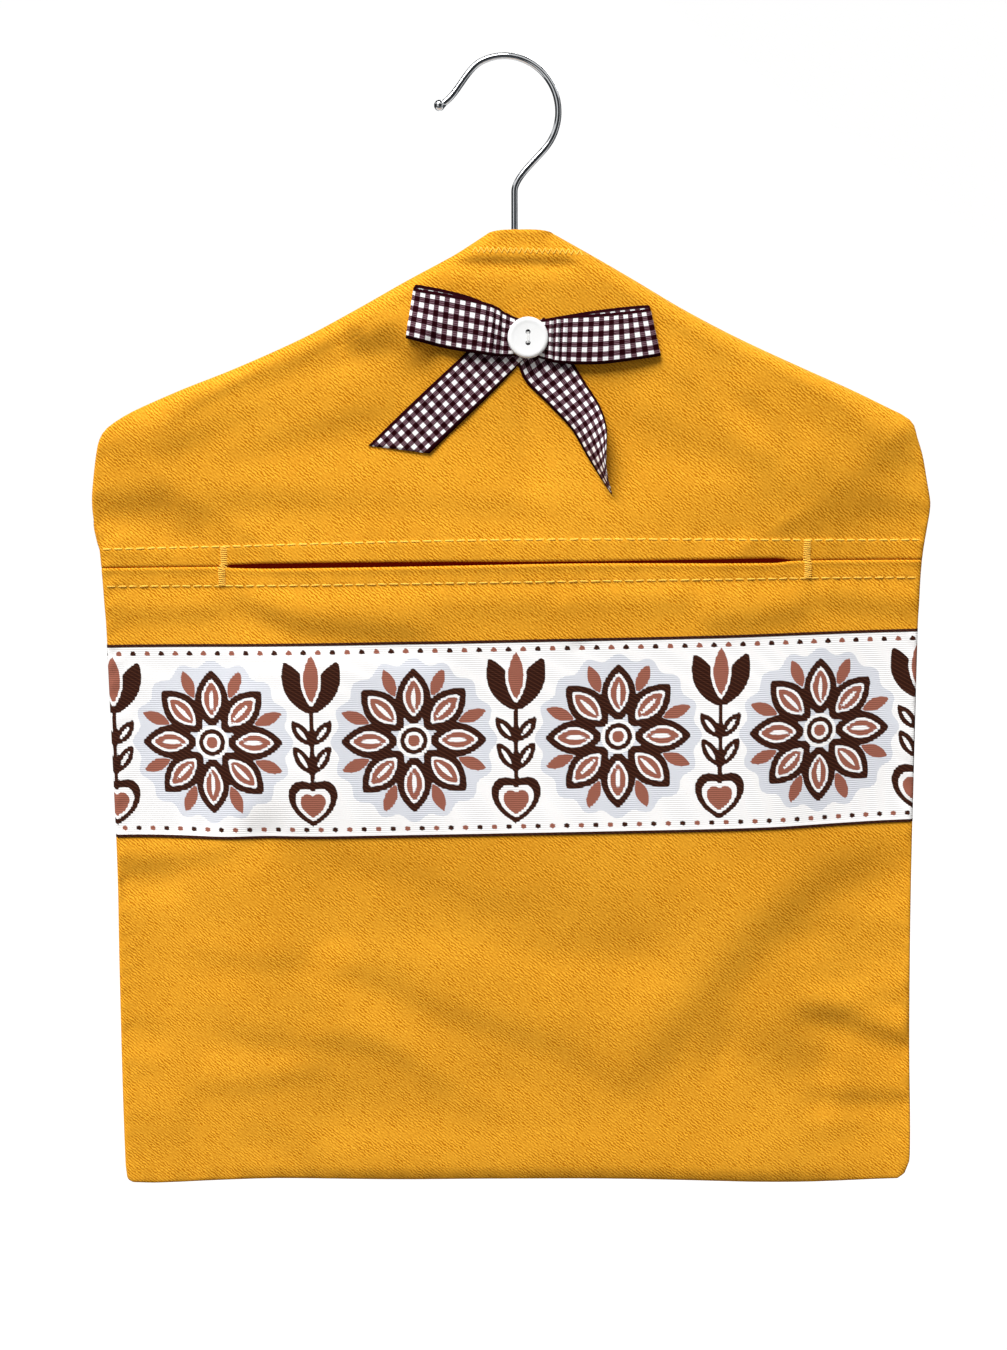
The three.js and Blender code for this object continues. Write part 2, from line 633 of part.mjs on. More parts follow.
function buttonThread() {
  const half = BUTTON_HOLE_SPACING / 2;
  const width = BUTTON_THREAD_DIAMETER;
  const faceY = BUTTON_BACK_Y - BUTTON_THICKNESS + BUTTON_DISH;
  const backY = BUTTON_BACK_Y - SEAT_GAP;
  const frontY = faceY - SEAT_GAP - THREAD_THICKNESS;
  const block = (lowY, highY, lowZ, highZ) => new THREE.BoxGeometry(width, highY - lowY, highZ - lowZ)
    .translate(BOW_X, (lowY + highY) / 2, BOW_Z + (lowZ + highZ) / 2);
  const bridge = block(frontY, faceY - SEAT_GAP, -half - width / 2, half + width / 2);
  const leg = (z) => block(frontY + THREAD_THICKNESS / 2, backY, z - width / 2, z + width / 2);
  return geometryOf(solidOf(bridge).add(solidOf(leg(half))).add(solidOf(leg(-half))));
}

// Assembly

addPart('hanger_hook', hook(), CHROME);
addPart('hook_washer', washer(), CHROME);
addPart('hanger_body', hangerBody(), BEECH);

const ZIGZAG_EDGES = [ZIGZAG_Z + ZIGZAG_HEIGHT / 2, ZIGZAG_Z - ZIGZAG_HEIGHT / 2];
const SHOULDER_LEVELS = [NECK_Z, ...ZIGZAG_EDGES, CLOSED_Z, SHOULDER_Z, WIDEST_Z];
const UPPER_ROWS = rowsThrough([...SHOULDER_LEVELS, UPPER_STITCH_Z, SLIT_TOP_Z], SHOULDER_ROW_STEP);
const LIP_ROWS = rowsThrough([SLIT_BOTTOM_Z, LOWER_STITCH_Z, LIP_BOTTOM_Z + SEAM_GAP], CLOTH_ROW_STEP);
const HEM_LEVELS = [BOTTOM_Z + SIDE_REACH, BOTTOM_Z + 2 * SIDE_REACH / 3, BOTTOM_Z + SIDE_REACH / 3];
HEM_LEVELS.push(BOTTOM_Z + HEM_CORNER_RADIUS, BOTTOM_Z + HEM_CORNER_RADIUS / 3, BOTTOM_Z);
const LOWER_ROWS = rowsThrough(
  [SLIT_TOP_Z - SEAM_GAP, SLIT_BOTTOM_Z, LOWER_STITCH_Z, LIP_BOTTOM_Z, ...HEM_LEVELS], CLOTH_ROW_STEP);
const BACK_ROWS = [
  ...rowsThrough(SHOULDER_LEVELS, SHOULDER_ROW_STEP),
  ...rowsThrough([WIDEST_Z, WAIST_Z, ...HEM_LEVELS], 2 * CLOTH_ROW_STEP).slice(1),
];

addPart('back_panel', clothPanel(BACK_ROWS, spreadColumns, backInside, backFace), OCHRE_TWILL);
addPart('upper_front_panel', clothPanel(UPPER_ROWS, spreadColumns, frontInside, frontFace), OCHRE_TWILL);

const firstMiddle = SIDE_SHARES.length;
const lastMiddle = firstMiddle + MIDDLE_SHARES.length - 1;
const besideLip = (i, j) => LOWER_ROWS[j] <= LIP_BOTTOM_Z || i < firstMiddle || i >= lastMiddle;
addPart('lower_front_panel',
  clothPanel(LOWER_ROWS, slitColumns, frontInside, frontFace, besideLip), OCHRE_TWILL);

const lipColumns = () => MIDDLE_SHARES.map((share) => share * (NOTCH_HALF - SEAT_GAP));
addPart('mouth_lip', clothPanel(LIP_ROWS, lipColumns, frontInside, frontFace), OCHRE_TWILL);

const BAND_TOP_Z = SLIT_Z - BAND_BELOW_SLIT;
const bandSlope = Math.tan(radians(BAND_TILT));
const bandTop = (x) => BAND_TOP_Z + bandSlope * x;
const bandBottom = (x) => bandTop(x) - BAND_HEIGHT;
const bandRows = Math.ceil(BAND_HEIGHT / CLOTH_ROW_STEP);
addPart('ribbon_band', trimOnCloth(slitColumns(BAND_TOP_Z), bandTop, bandBottom, frontFace,
  BAND_THICKNESS, -1, bandRows), WOVEN_TRIM);

const stitchEnd = halfWidth(UPPER_STITCH_Z) - STITCH_SIDE_MARGIN;
const stitchStart = NOTCH_HALF + 2 * SEAT_GAP;
const lipEnd = NOTCH_HALF - 2 * SEAT_GAP;
const lowerColumns = slitColumns(LOWER_STITCH_Z);
const lowerEnd = halfWidth(LOWER_STITCH_Z) - STITCH_SIDE_MARGIN;
addPart('upper_topstitch',
  threadRow(within(spreadColumns(UPPER_STITCH_Z), -stitchEnd, stitchEnd), UPPER_STITCH_Z), OCHRE_THREAD);
addPart('lower_topstitch_left',
  threadRow(within(lowerColumns, -lowerEnd, -stitchStart), LOWER_STITCH_Z), OCHRE_THREAD);
addPart('lower_topstitch_right',
  threadRow(within(lowerColumns, stitchStart, lowerEnd), LOWER_STITCH_Z), OCHRE_THREAD);
addPart('lip_topstitch',
  threadRow(within(lowerColumns, -lipEnd, lipEnd), LOWER_STITCH_Z), OCHRE_THREAD);

const zigzagColumns = spreadColumns(ZIGZAG_EDGES[0]);
addPart('neck_zigzag_front',
  threadRow(zigzagColumns, ZIGZAG_Z, ZIGZAG_HEIGHT), OCHRE_THREAD);
addPart('neck_zigzag_back',
  threadRow(zigzagColumns, ZIGZAG_Z, ZIGZAG_HEIGHT, backFace, 1), OCHRE_THREAD);

const tackStart = NOTCH_HALF + SEAT_GAP;
const tackTop = () => SLIT_Z + BAR_TACK_HEIGHT / 2;
const tackBottom = () => SLIT_Z - BAR_TACK_HEIGHT / 2;
const barTack = (start, end) => trimOnCloth([start, end], tackTop, tackBottom, frontFace, THREAD_THICKNESS);
addPart('bar_tack_left', barTack(-tackStart - BAR_TACK_WIDTH, -tackStart), OCHRE_THREAD);
addPart('bar_tack_right', barTack(tackStart, tackStart + BAR_TACK_WIDTH), OCHRE_THREAD);

addPart('bow_left_tail', leftTail(), GINGHAM);
addPart('bow_right_tail', rightTail(), GINGHAM);
addPart('bow_loops', bowLoops(), GINGHAM);
addPart('button', button(), SHELL);
addPart('button_thread', buttonThread(), OCHRE_THREAD);

export default group;
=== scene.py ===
# %% [markdown]
# # A peg bag on its coat hanger
# The bag is cotton twill sewn round a wooden hanger, with a slit for a hand, a woven trim and a
# gingham bow under a button. The solids of the frame fix every size and every joint. This script
# dresses them: cloth with folds, thread by thread seams, and finishes with the right grain.

# %% Load the frame
import math

import bmesh
import bpy
import numpy as np
from mathutils import Matrix, Vector
from mathutils.bvhtree import BVHTree


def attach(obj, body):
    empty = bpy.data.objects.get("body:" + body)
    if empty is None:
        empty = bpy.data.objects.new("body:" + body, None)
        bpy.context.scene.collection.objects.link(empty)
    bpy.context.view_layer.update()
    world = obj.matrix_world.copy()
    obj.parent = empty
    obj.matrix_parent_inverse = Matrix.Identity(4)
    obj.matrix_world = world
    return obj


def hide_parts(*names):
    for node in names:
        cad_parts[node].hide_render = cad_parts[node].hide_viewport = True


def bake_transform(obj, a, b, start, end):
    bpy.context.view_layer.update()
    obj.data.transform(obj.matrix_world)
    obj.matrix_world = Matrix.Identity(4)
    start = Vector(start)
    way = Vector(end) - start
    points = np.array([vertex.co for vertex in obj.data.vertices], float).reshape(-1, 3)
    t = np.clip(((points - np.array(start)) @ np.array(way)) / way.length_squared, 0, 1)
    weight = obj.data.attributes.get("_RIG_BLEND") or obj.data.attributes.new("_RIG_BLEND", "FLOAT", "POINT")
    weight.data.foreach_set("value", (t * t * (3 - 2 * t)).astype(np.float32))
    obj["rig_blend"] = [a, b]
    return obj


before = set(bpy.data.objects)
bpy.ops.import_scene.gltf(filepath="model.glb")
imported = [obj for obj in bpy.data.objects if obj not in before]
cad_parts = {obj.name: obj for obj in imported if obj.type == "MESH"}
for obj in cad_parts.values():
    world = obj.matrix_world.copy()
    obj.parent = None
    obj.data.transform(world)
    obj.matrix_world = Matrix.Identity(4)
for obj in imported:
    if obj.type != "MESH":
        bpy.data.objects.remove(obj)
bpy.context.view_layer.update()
scene = bpy.context.scene
MM = 0.001

# %% [markdown]
# ## Helpers for finishes
# Colours are written as on a paint card, in sRGB hex, while the renderer adds light in linear
# values, so one function converts. Another adds a shader or geometry node with its settings and
# links in one call, which keeps each tree short enough to read. Two more start a finish.

# %% Colour, node and object helpers
def linear(code):
    """An sRGB hex colour as the linear values that a socket takes."""
    parts = [int(code[i:i + 2], 16) / 255 for i in (1, 3, 5)]
    return [p / 12.92 if p <= 0.04045 else ((p + 0.055) / 1.055) ** 2.4 for p in parts] + [1.0]


def link_in(node, links):
    """Feeds a node's inputs from other nodes' first outputs, or from the outputs given."""
    for name, source in links.items():
        output = source.outputs[0] if isinstance(source, bpy.types.Node) else source
        node.id_data.links.new(output, node.inputs[name])


def add_node(tree, kind, settings=None, links=None):
    """Adds one node. Settings are its properties or inputs, links are other nodes or their outputs."""
    node = tree.nodes.new(kind if "Node" in kind else "ShaderNode" + kind)
    for name, value in (settings or {}).items():
        if isinstance(name, str) and hasattr(node, name):
            setattr(node, name, value)
        else:
            node.inputs[name].default_value = value
    link_in(node, links or {})
    return node


def new_finish(name, roughness, **sockets):
    """A material with its shader's plain numbers set on the shader itself."""
    finish = bpy.data.materials.new(name)
    finish.use_nodes = True
    shader = finish.node_tree.nodes["Principled BSDF"]
    shader.inputs["Roughness"].default_value = roughness
    for socket, value in sockets.items():
        shader.inputs[socket.replace("_", " ")].default_value = value
    return finish, finish.node_tree, shader


def mottled_finish(name, roughness, dark, light, texture, settings, **sockets):
    """A finish that wavers between two colours with a texture fixed to the piece, scaled per metre."""
    finish, tree, shader = new_finish(name, roughness, **sockets)
    place = add_node(tree, "TexCoord")
    grain = add_node(tree, texture, settings, {"Vector": place.outputs["Object"]})
    tone = add_node(tree, "Mix", {"data_type": "RGBA", 6: linear(dark), 7: linear(light)},
                    {"Factor": grain})
    link_in(shader, {"Base Color": tone.outputs[2]})
    return finish


def linked(name, data):
    piece = bpy.data.objects.new(name, data)
    scene.collection.objects.link(piece)
    return piece


print("mustard in linear values:", [round(v, 3) for v in linear("#E59E29")])

# %% [markdown]
# ## The camera
# The photographer stood about 70 cm in front of the bag, a little above its middle, and looked
# slightly down. A 40 mm lens on a 36 mm sensor gives the same perspective.

# %% Camera
CAMERA_PLACE = Vector((-0.00592, -0.72548, -0.19177))
CAMERA_PITCH = math.radians(7.48)
CAMERA_ROLL = math.radians(-0.20)
LENS, SENSOR, NEAREST = 40.0, 36.0, 0.01
ahead = Vector((0, math.cos(CAMERA_PITCH), -math.sin(CAMERA_PITCH)))
level_up = Vector((0, math.sin(CAMERA_PITCH), math.cos(CAMERA_PITCH)))
level_right = Vector((1, 0, 0))
right = level_right * math.cos(CAMERA_ROLL) + level_up * math.sin(CAMERA_ROLL)
up = level_up * math.cos(CAMERA_ROLL) - level_right * math.sin(CAMERA_ROLL)

lens = bpy.data.cameras.new("photo_camera")
lens.lens = LENS
lens.sensor_width = SENSOR
lens.clip_start = NEAREST
camera = linked("photo_camera", lens)
camera.matrix_world = Matrix((right, up, -ahead)).transposed().to_4x4()
camera.location = CAMERA_PLACE
scene.camera = camera
scene.view_settings.view_transform = "Standard"
print("camera at", tuple(round(c, 3) for c in camera.location))

# %% [markdown]
# ## The studio
# A floor rises in a curve to a wall, so no corner shows. Both look white, but they send little light
# back to the bag, which keeps the shade in its folds. A broad lamp from high on the left shapes the
# folds, as daylight from a tall window does, the sky adds a little all round, and a lamp behind
# lights the edges. Dark cards stand all round and overhead, with gaps between them, for reflections
# only, because plated wire looks like metal by what it mirrors.

# %% Stage helpers and finishes
GLOW_SHARE = 0.85


def strip(first, count):
    """Quads along points that come in pairs, from a first point on."""
    return [(p, p + 1, p + 3, p + 2) for p in range(first, first + 2 * count, 2)]


def stage_piece(name, points, faces, finish):
    mesh = bpy.data.meshes.new(name)
    mesh.from_pydata(points, [], faces)
    mesh.materials.append(finish)
    return linked(name, mesh)


def looked_at(tree):
    """1 for rays from the camera, also by way of a mirror or glass, and 0 for rays that carry light."""
    rays = add_node(tree, "LightPath")
    seen = rays.outputs["Is Camera Ray"]
    for kind in ("Is Glossy Ray", "Is Transmission Ray"):
        seen = add_node(tree, "Math", {"operation": "MAXIMUM"}, {0: seen, 1: rays.outputs[kind]})
    return seen


paper, tree, shader = new_finish("matt_paper_white", 0.9)
seen = looked_at(tree)
shade = add_node(tree, "Mix", {"data_type": "RGBA", 6: linear("#6E6E6C"), 7: linear("#FAFAF9")},
                 {"Factor": seen})
link_in(shader, {"Base Color": shade.outputs[2]})
glow = add_node(tree, "Emission", {"Color": linear("#FFFFFF")})
part_glow = add_node(tree, "Math", {"operation": "MULTIPLY", 1: GLOW_SHARE}, {0: seen})
mixed = add_node(tree, "MixShader", None, {"Fac": part_glow, 1: shader, 2: glow})
link_in(tree.nodes["Material Output"], {"Surface": mixed})
card_grey = new_finish("matt_card_grey", 1.0, Base_Color=linear("#4A4D51"))[0]
print("paper glows by", GLOW_SHARE, "where it is looked at")

# %% Floor, wall and cards
FLOOR_LEVEL, WALL_AT, WALL_TOP, STAGE_HALF = -0.95, 1.8, 2.5, 4.0
COVE_RADIUS, COVE_STEPS = 0.5, 12
CARD_RADIUS, CARD_LOW, CARD_TOP, CEILING = 1.6, -0.9, 0.75, 1.2
CARD_SPANS, CARD_POSTS = ((-172, -52), (-18, 58), (74, 172)), 8
LEVEL_CARDS = ((-CARD_RADIUS, -0.35, CARD_LOW), (-0.55, 1.5, CEILING))
turns = [k * math.pi / (2 * COVE_STEPS) for k in range(COVE_STEPS + 1)]
cove = [(WALL_AT - COVE_RADIUS + COVE_RADIUS * math.sin(t),
         FLOOR_LEVEL + COVE_RADIUS - COVE_RADIUS * math.cos(t)) for t in turns]
section = [(-STAGE_HALF, FLOOR_LEVEL), *cove, (WALL_AT, WALL_TOP)]
points = [(x, y, z) for y, z in section for x in (-STAGE_HALF, STAGE_HALF)]
studio_floor = stage_piece("studio_floor", points, strip(0, len(section) - 1), paper)
studio_floor.data.polygons.foreach_set("use_smooth", [True] * (len(section) - 1))

points, faces = [], []
for first, last in CARD_SPANS:
    faces += strip(len(points), CARD_POSTS - 1)
    for a in np.radians(np.linspace(first, last, CARD_POSTS)):
        points += [(CARD_RADIUS * math.sin(a), -CARD_RADIUS * math.cos(a), z)
                   for z in (CARD_LOW, CARD_TOP)]
for front_edge, back_edge, z in LEVEL_CARDS:
    faces += strip(len(points), 1)
    points += [(x, y, z) for y in (front_edge, back_edge) for x in (-CARD_RADIUS, CARD_RADIUS)]
dark_card = stage_piece("dark_card", points, faces, card_grey)
dark_card.visible_camera = False
dark_card.visible_diffuse = False
dark_card.visible_shadow = False
print("floor at", FLOOR_LEVEL, "m, wall at", WALL_AT, "m")

# %% Sky and lamps
SKY_LIGHT = 0.2
LAMP_WAY, LAMP_SPREAD, LAMP_STRENGTH = Vector((0.30, 0.50, -0.81)), math.radians(38), 4.9
BACK_LAMP_AT, BACK_LAMP_AIM = Vector((0.7, 1.5, 0.7)), Vector((0, 0, -0.3))
BACK_LAMP_SIZE, BACK_LAMP_WATTS = 1.2, 32

sky = bpy.data.worlds.new("soft_sky")
sky.use_nodes = True
scene.world = sky
tree = sky.node_tree
background = tree.nodes["Background"]
strength = add_node(tree, "MapRange", {"To Min": SKY_LIGHT, "To Max": 1.0}, {"Value": looked_at(tree)})
link_in(background, {"Strength": strength})
background.inputs["Color"].default_value = linear("#FFFFFF")


def lamp_along(name, kind, way):
    lamp = linked(name, bpy.data.lights.new(name, kind))
    lamp.rotation_euler = way.to_track_quat("-Z", "Y").to_euler()
    return lamp


window_lamp = lamp_along("window_lamp", "SUN", LAMP_WAY)
window_lamp.data.angle = LAMP_SPREAD
window_lamp.data.energy = LAMP_STRENGTH
back_lamp = lamp_along("back_lamp", "AREA", BACK_LAMP_AIM - BACK_LAMP_AT)
back_lamp.location = BACK_LAMP_AT
back_lamp.data.size = BACK_LAMP_SIZE
back_lamp.data.energy = BACK_LAMP_WATTS
back_lamp.visible_camera = False
print("lamp shines along", tuple(round(c, 2) for c in LAMP_WAY))

# %% [markdown]
# ## The bag's outline and its plain surface
# A sewing pattern is flat: neck, shoulder, side and hem. The cloth then stands off the middle plane,
# by the hanger's half thickness at the shoulders and by the belly lower down, and comes back to
# nothing at the seams. Everything here is in millimetres, with X across and Z up.

# %% Curves and the outline
def ease(value, low, high):
    """0 below low, 1 above high, and a soft step between."""
    share = np.clip((value - low) / (high - low), 0, 1)
    return share * share * (3 - 2 * share)


def smooth_through(stations, steps):
    """A Catmull-Rom curve through rows of numbers."""
    points = np.array(stations, float)
    padded = np.vstack([2 * points[0] - points[1], points, 2 * points[-1] - points[-2]])
    pieces = []
    for a, b, c, d in zip(padded[:-3], padded[1:-2], padded[2:-1], padded[3:]):
        t = np.linspace(0, 1, steps, endpoint=False)[:, None]
        pieces.append(0.5 * (2 * b + (c - a) * t + (2 * a - 5 * b + 4 * c - d) * t ** 2
                             + (3 * b - 3 * c + d - a) * t ** 3))
    return np.vstack([*pieces, points[-1:]])


def to_segment(x, z, start, end):
    """The share along a straight piece that is nearest to a point, and the gaps from there."""
    run = end - start
    share = np.clip(((x - start[0]) * run[0] + (z - start[1]) * run[1]) / (run @ run), 0, 1)
    return share, x - start[0] - share * run[0], z - start[1] - share * run[1]


NECK_Z, SHOULDER_Z, SLIT_Z, BELLY_Z, HEM_Z = -78.0, -165.0, -232.5, -330.0, -545.0
SEAM_STEPS, HEM_WAVE_FADE = 5, (500, 540)
LEFT_SEAM = smooth_through([
    (-12.8, NECK_Z), (-26.5, -86.6), (-35, -91.2), (-52, -100), (-75, -112.6), (-101, -126),
    (-133, -139.8), (-158, -149.3), (-180, -158.6), (-189, -163.4), (-195.4, -168),
    (-198.7, -173), (-200.3, -179), (-201.8, -188), (-203.2, -199), (-203.2, -206), (-202, -214),
    (-200.6, -222), (-199.8, -235), (-199.2, -250), (-198.6, -275), (-197.8, -375),
    (-198.6, -430), (-199.3, -490), (-199.4, -530), (-199.1, -540), (-198.1, -543.5),
    (-195.5, HEM_Z)], SEAM_STEPS)
RIGHT_SEAM = smooth_through([
    (18, NECK_Z), (38, -89), (58, -100.4), (80, -113.2), (107, -127), (138, -141),
    (159.5, -150.4), (178, -159.2), (186.5, -163.4), (190.4, -167.3), (192, -172.5),
    (195, -181.5), (197.4, -193), (199.3, -203), (199.4, -207.5), (198.3, -216), (196.8, -227),
    (196, -238), (195.7, -252), (195.4, -275), (196, -375), (197, -436), (198.2, -480),
    (199.6, -512), (200.1, -529), (199.8, -537), (198, -541.8), (194, HEM_Z)], SEAM_STEPS)
HEM_LINE = smooth_through([
    (-205, -546.8), (-182, -547.4), (-151, -545.4), (-119, -543.7), (-60, -544.5), (-14, -544.3),
    (47, -544.5), (93, -545.7), (124, -546.8), (155, -547.4), (190, -546.6), (205, -546.2)], SEAM_STEPS)


def seam_sides(z):
    """Where the left and the right seam are at a level."""
    down = -np.asarray(z, float)
    return [np.interp(down, -seam[:, 1], seam[:, 0]) for seam in (LEFT_SEAM, RIGHT_SEAM)]


def hem_shift(x, z):
    """The hem's own slow wave, which fades out upwards."""
    return (np.interp(x, HEM_LINE[:, 0], HEM_LINE[:, 1]) - HEM_Z) * ease(-z, *HEM_WAVE_FADE)


HEM_HALF, HEM_POINTS = 190, 40
hem = np.stack([np.linspace(-HEM_HALF, HEM_HALF, HEM_POINTS), np.full(HEM_POINTS, HEM_Z)], -1)
OUTLINE = np.vstack([LEFT_SEAM, hem, RIGHT_SEAM[::-1]])
OUTLINE[:, 1] += hem_shift(OUTLINE[:, 0], OUTLINE[:, 1])
FAR_OFF = 1e9


def seam_distance(x, z):
    """How far a point of the pattern is from the nearest seam."""
    nearest = np.full(np.shape(x), FAR_OFF)
    for start, end in zip(OUTLINE[:-1], OUTLINE[1:]):
        nearest = np.minimum(nearest, np.hypot(*to_segment(x, z, start, end)[1:]))
    return nearest


print("outline points:", len(OUTLINE), "width:", round(float(np.ptp(OUTLINE[:, 0])), 1), "mm")

# %% Plain surface
EDGE_ROLL, SLIT_ROLL = 2.0, 1.3
NECK_CROWN, NECK_RISE, HANGER_CROWN, HEM_DROP = 5.0, 26, 7.5, 0.75
TAUT_REACH, ARM_END_REACH, ARM_END = 9, 26, (150, 192)
SLACK_REACH, SWELL_REACH, LOW_SHORTER = 155, 110, 0.3


def rolled(distance, radius=EDGE_ROLL):
    """Depth of a folded edge: nothing at the fold itself, full after a quarter circle."""
    share = 1 - np.clip(distance / radius, 0, 1)
    return radius * np.sqrt(1 - share ** 2)


def stand_off(x, z, belly, distance):
    """The plain surface: held out by the hanger, swelling below it, and flat again at the hem."""
    left, right_side = seam_sides(z)
    inward = np.where(z < BELLY_Z, np.minimum(x - left, right_side - x), distance)
    loose = ease(SHOULDER_Z - z, 0, SHOULDER_Z - SLIT_Z)
    low = 1 - LOW_SHORTER * ease(SLIT_Z - z, 0, SLIT_Z - BELLY_Z)
    reach = TAUT_REACH + ARM_END_REACH * ease(np.abs(x), *ARM_END)
    share = np.clip(inward / (reach + (low * SLACK_REACH - reach) * loose), 0, 1)
    taut = 1 - (1 - share) ** 3
    slack = share ** 3 * (6 * share ** 2 - 15 * share + 10)
    held = NECK_CROWN + (HANGER_CROWN - NECK_CROWN) * ease(NECK_Z - z, 0, NECK_RISE)
    held = held * (taut + loose * (slack - taut))
    swell = (belly - HANGER_CROWN) * ease(inward, 0, low * SWELL_REACH) * loose
    drop = 1 - HEM_DROP * np.clip((BELLY_Z - z) / (BELLY_Z - HEM_Z), 0, 1) ** 2
    return rolled(distance) + drop * (held + swell)


print("the hanger holds the cloth", HANGER_CROWN, "mm off the middle plane")

# %% [markdown]
# ## Room for the hanger
# The cloth may fold, but never into the wood. Rays from in front and from behind feel the hanger's
# solid and make two height maps. Where a fold would go deeper than the wood, the cloth lies on the
# wood instead, which also draws the hanger's lower edge through the cloth.

# %% Height maps of the hanger
CLOTH, AIR, TOUCH_SOFT = 0.7, 0.25, 0.36
MAP_STEP, NO_WOOD, RAYS_FROM = 2.0, -4.0, 0.1
MAP_X = np.arange(-196, 197, MAP_STEP)
MAP_Z = np.arange(-200, -79, MAP_STEP)
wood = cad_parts["hanger_body"].data
wood_tree = BVHTree.FromPolygons([v.co for v in wood.vertices], [tuple(p.vertices) for p in wood.polygons])


def wood_map(side):
    """How far the wood reaches from the middle plane, to the front (-1) or to the back (1)."""
    reach = np.full((len(MAP_Z), len(MAP_X)), NO_WOOD)
    for i, z in enumerate(MAP_Z):
        for j, x in enumerate(MAP_X):
            hit = wood_tree.ray_cast(Vector((x * MM, side * RAYS_FROM, z * MM)), Vector((0, -side, 0)))[0]
            reach[i, j] = NO_WOOD if hit is None else side * hit.y / MM
    around = np.pad(reach, 1, mode="edge")
    rows, columns = reach.shape
    return np.max([around[a:a + rows, b:b + columns] for a in range(3) for b in range(3)], axis=0)


def over_wood(depth, reach, x, z):
    """A cloth depth that stays clear of the wood."""
    column = np.clip((x - MAP_X[0]) / MAP_STEP, 0, len(MAP_X) - 1.001)
    row = np.clip((z - MAP_Z[0]) / MAP_STEP, 0, len(MAP_Z) - 1.001)
    i, j = row.astype(int), column.astype(int)
    u, v = row - i, column - j
    need = (reach[i, j] * (1 - u) + reach[i + 1, j] * u) * (1 - v)
    need += (reach[i, j + 1] * (1 - u) + reach[i + 1, j + 1] * u) * v + CLOTH + AIR
    return 0.5 * (depth + need + np.sqrt((depth - need) ** 2 + TOUCH_SOFT))


WOOD_FRONT, WOOD_BACK = wood_map(-1), wood_map(1)
print("wood reaches", round(float(WOOD_FRONT.max()), 2), "mm forward")

# %% [markdown]
# ## Folds
# Cloth that hangs on a hanger dents under the hanger's arms, puckers at the shoulder corners and
# falls in long soft valleys below. Each fold here is a stroke: points on the pattern, a width, a
# dent and a step. A dent is a valley along the stroke, or a ridge where it is negative. A step lifts
# one side of the stroke and sinks the other, which turns the cloth to or from the light.
# A few slow waves add the unevenness of washed cotton.

# %% Fold strokes
NECK_AND_ARMS = [
    ([(-42, -90.5), (-5, -91.5), (36, -92)], 4, 0.4, -2.0),
    ([(-215, -188), (-170, -178), (-140, -166), (-110, -152), (-80, -138), (-44, -120)], 14, 2.5, 0.5),
    ([(-185, -184), (-130, -163), (-90, -150), (-40, -139)], 9, -1.3, -1.3),
    ([(-160, -184), (-115, -168), (-90, -160), (-45, -149)], 9, -1.1, 0.0),
    ([(-175, -190), (-120, -181), (-80, -172), (-50, -168)], 12, 1.1, 0.0),
    ([(-80, -130), (-57, -125), (-36, -135)], 12, -3.6, -3.8),
    ([(1, -132), (5, -160), (9, -206)], 7, 1.1, 0.0),
    ([(70, -124), (80, -136), (92, -150), (105, -165), (135, -190)], 9, -1.1, 1.7),
    ([(98, -142), (115, -160), (125, -172), (148, -192)], 9, -1.1, -1.3),
    ([(96, -142), (140, -166), (165, -178), (212, -190)], 14, 0.7, -0.6),
    ([(50, -154), (75, -170), (95, -178), (124, -192)], 12, -0.9, -1.3),
]
ROUND_THE_SLIT = [
    ([(-222, -204), (-192, -204), (-178, -203), (-156, -200)], 10, 0.9, -1.7),
    ([(-220, -219), (-185, -218), (-170, -222), (-140, -228)], 9, 0.2, 1.3),
    ([(-185, -209), (-120, -203), (-60, -204), (0, -208), (45, -213)], 9, 0.4, -0.8),
    ([(-165, -190), (-90, -187), (-30, -191), (20, -198), (95, -218)], 12, -0.4, 0.0),
    ([(50, -189), (85, -192), (110, -192), (156, -184)], 10, -0.4, 0.4),
    ([(222, -205), (190, -205), (176, -204), (156, -202)], 9, -0.4, 1.0),
    ([(75, -218), (105, -214), (125, -216), (150, -222)], 8, 0.2, -0.4),
    ([(-170, -247), (-90, -247), (0, -245), (80, -244), (170, -243)], 8, -0.4, 1.3),
    ([(-220, -257), (-185, -257), (-160, -256), (-130, -254)], 8, -0.5, -1.3),
    ([(-146, -240), (-120, -256), (-105, -262), (-80, -264), (-26, -267)], 10, 0.2, -3.0),
    ([(22, -246), (28, -258), (33, -272)], 8, -0.7, 0.4),
    ([(220, -254), (185, -254), (165, -252), (135, -249)], 8, -0.7, 1.3),
    ([(80, -258), (110, -257), (145, -251)], 8, -1.8, -0.4),
]
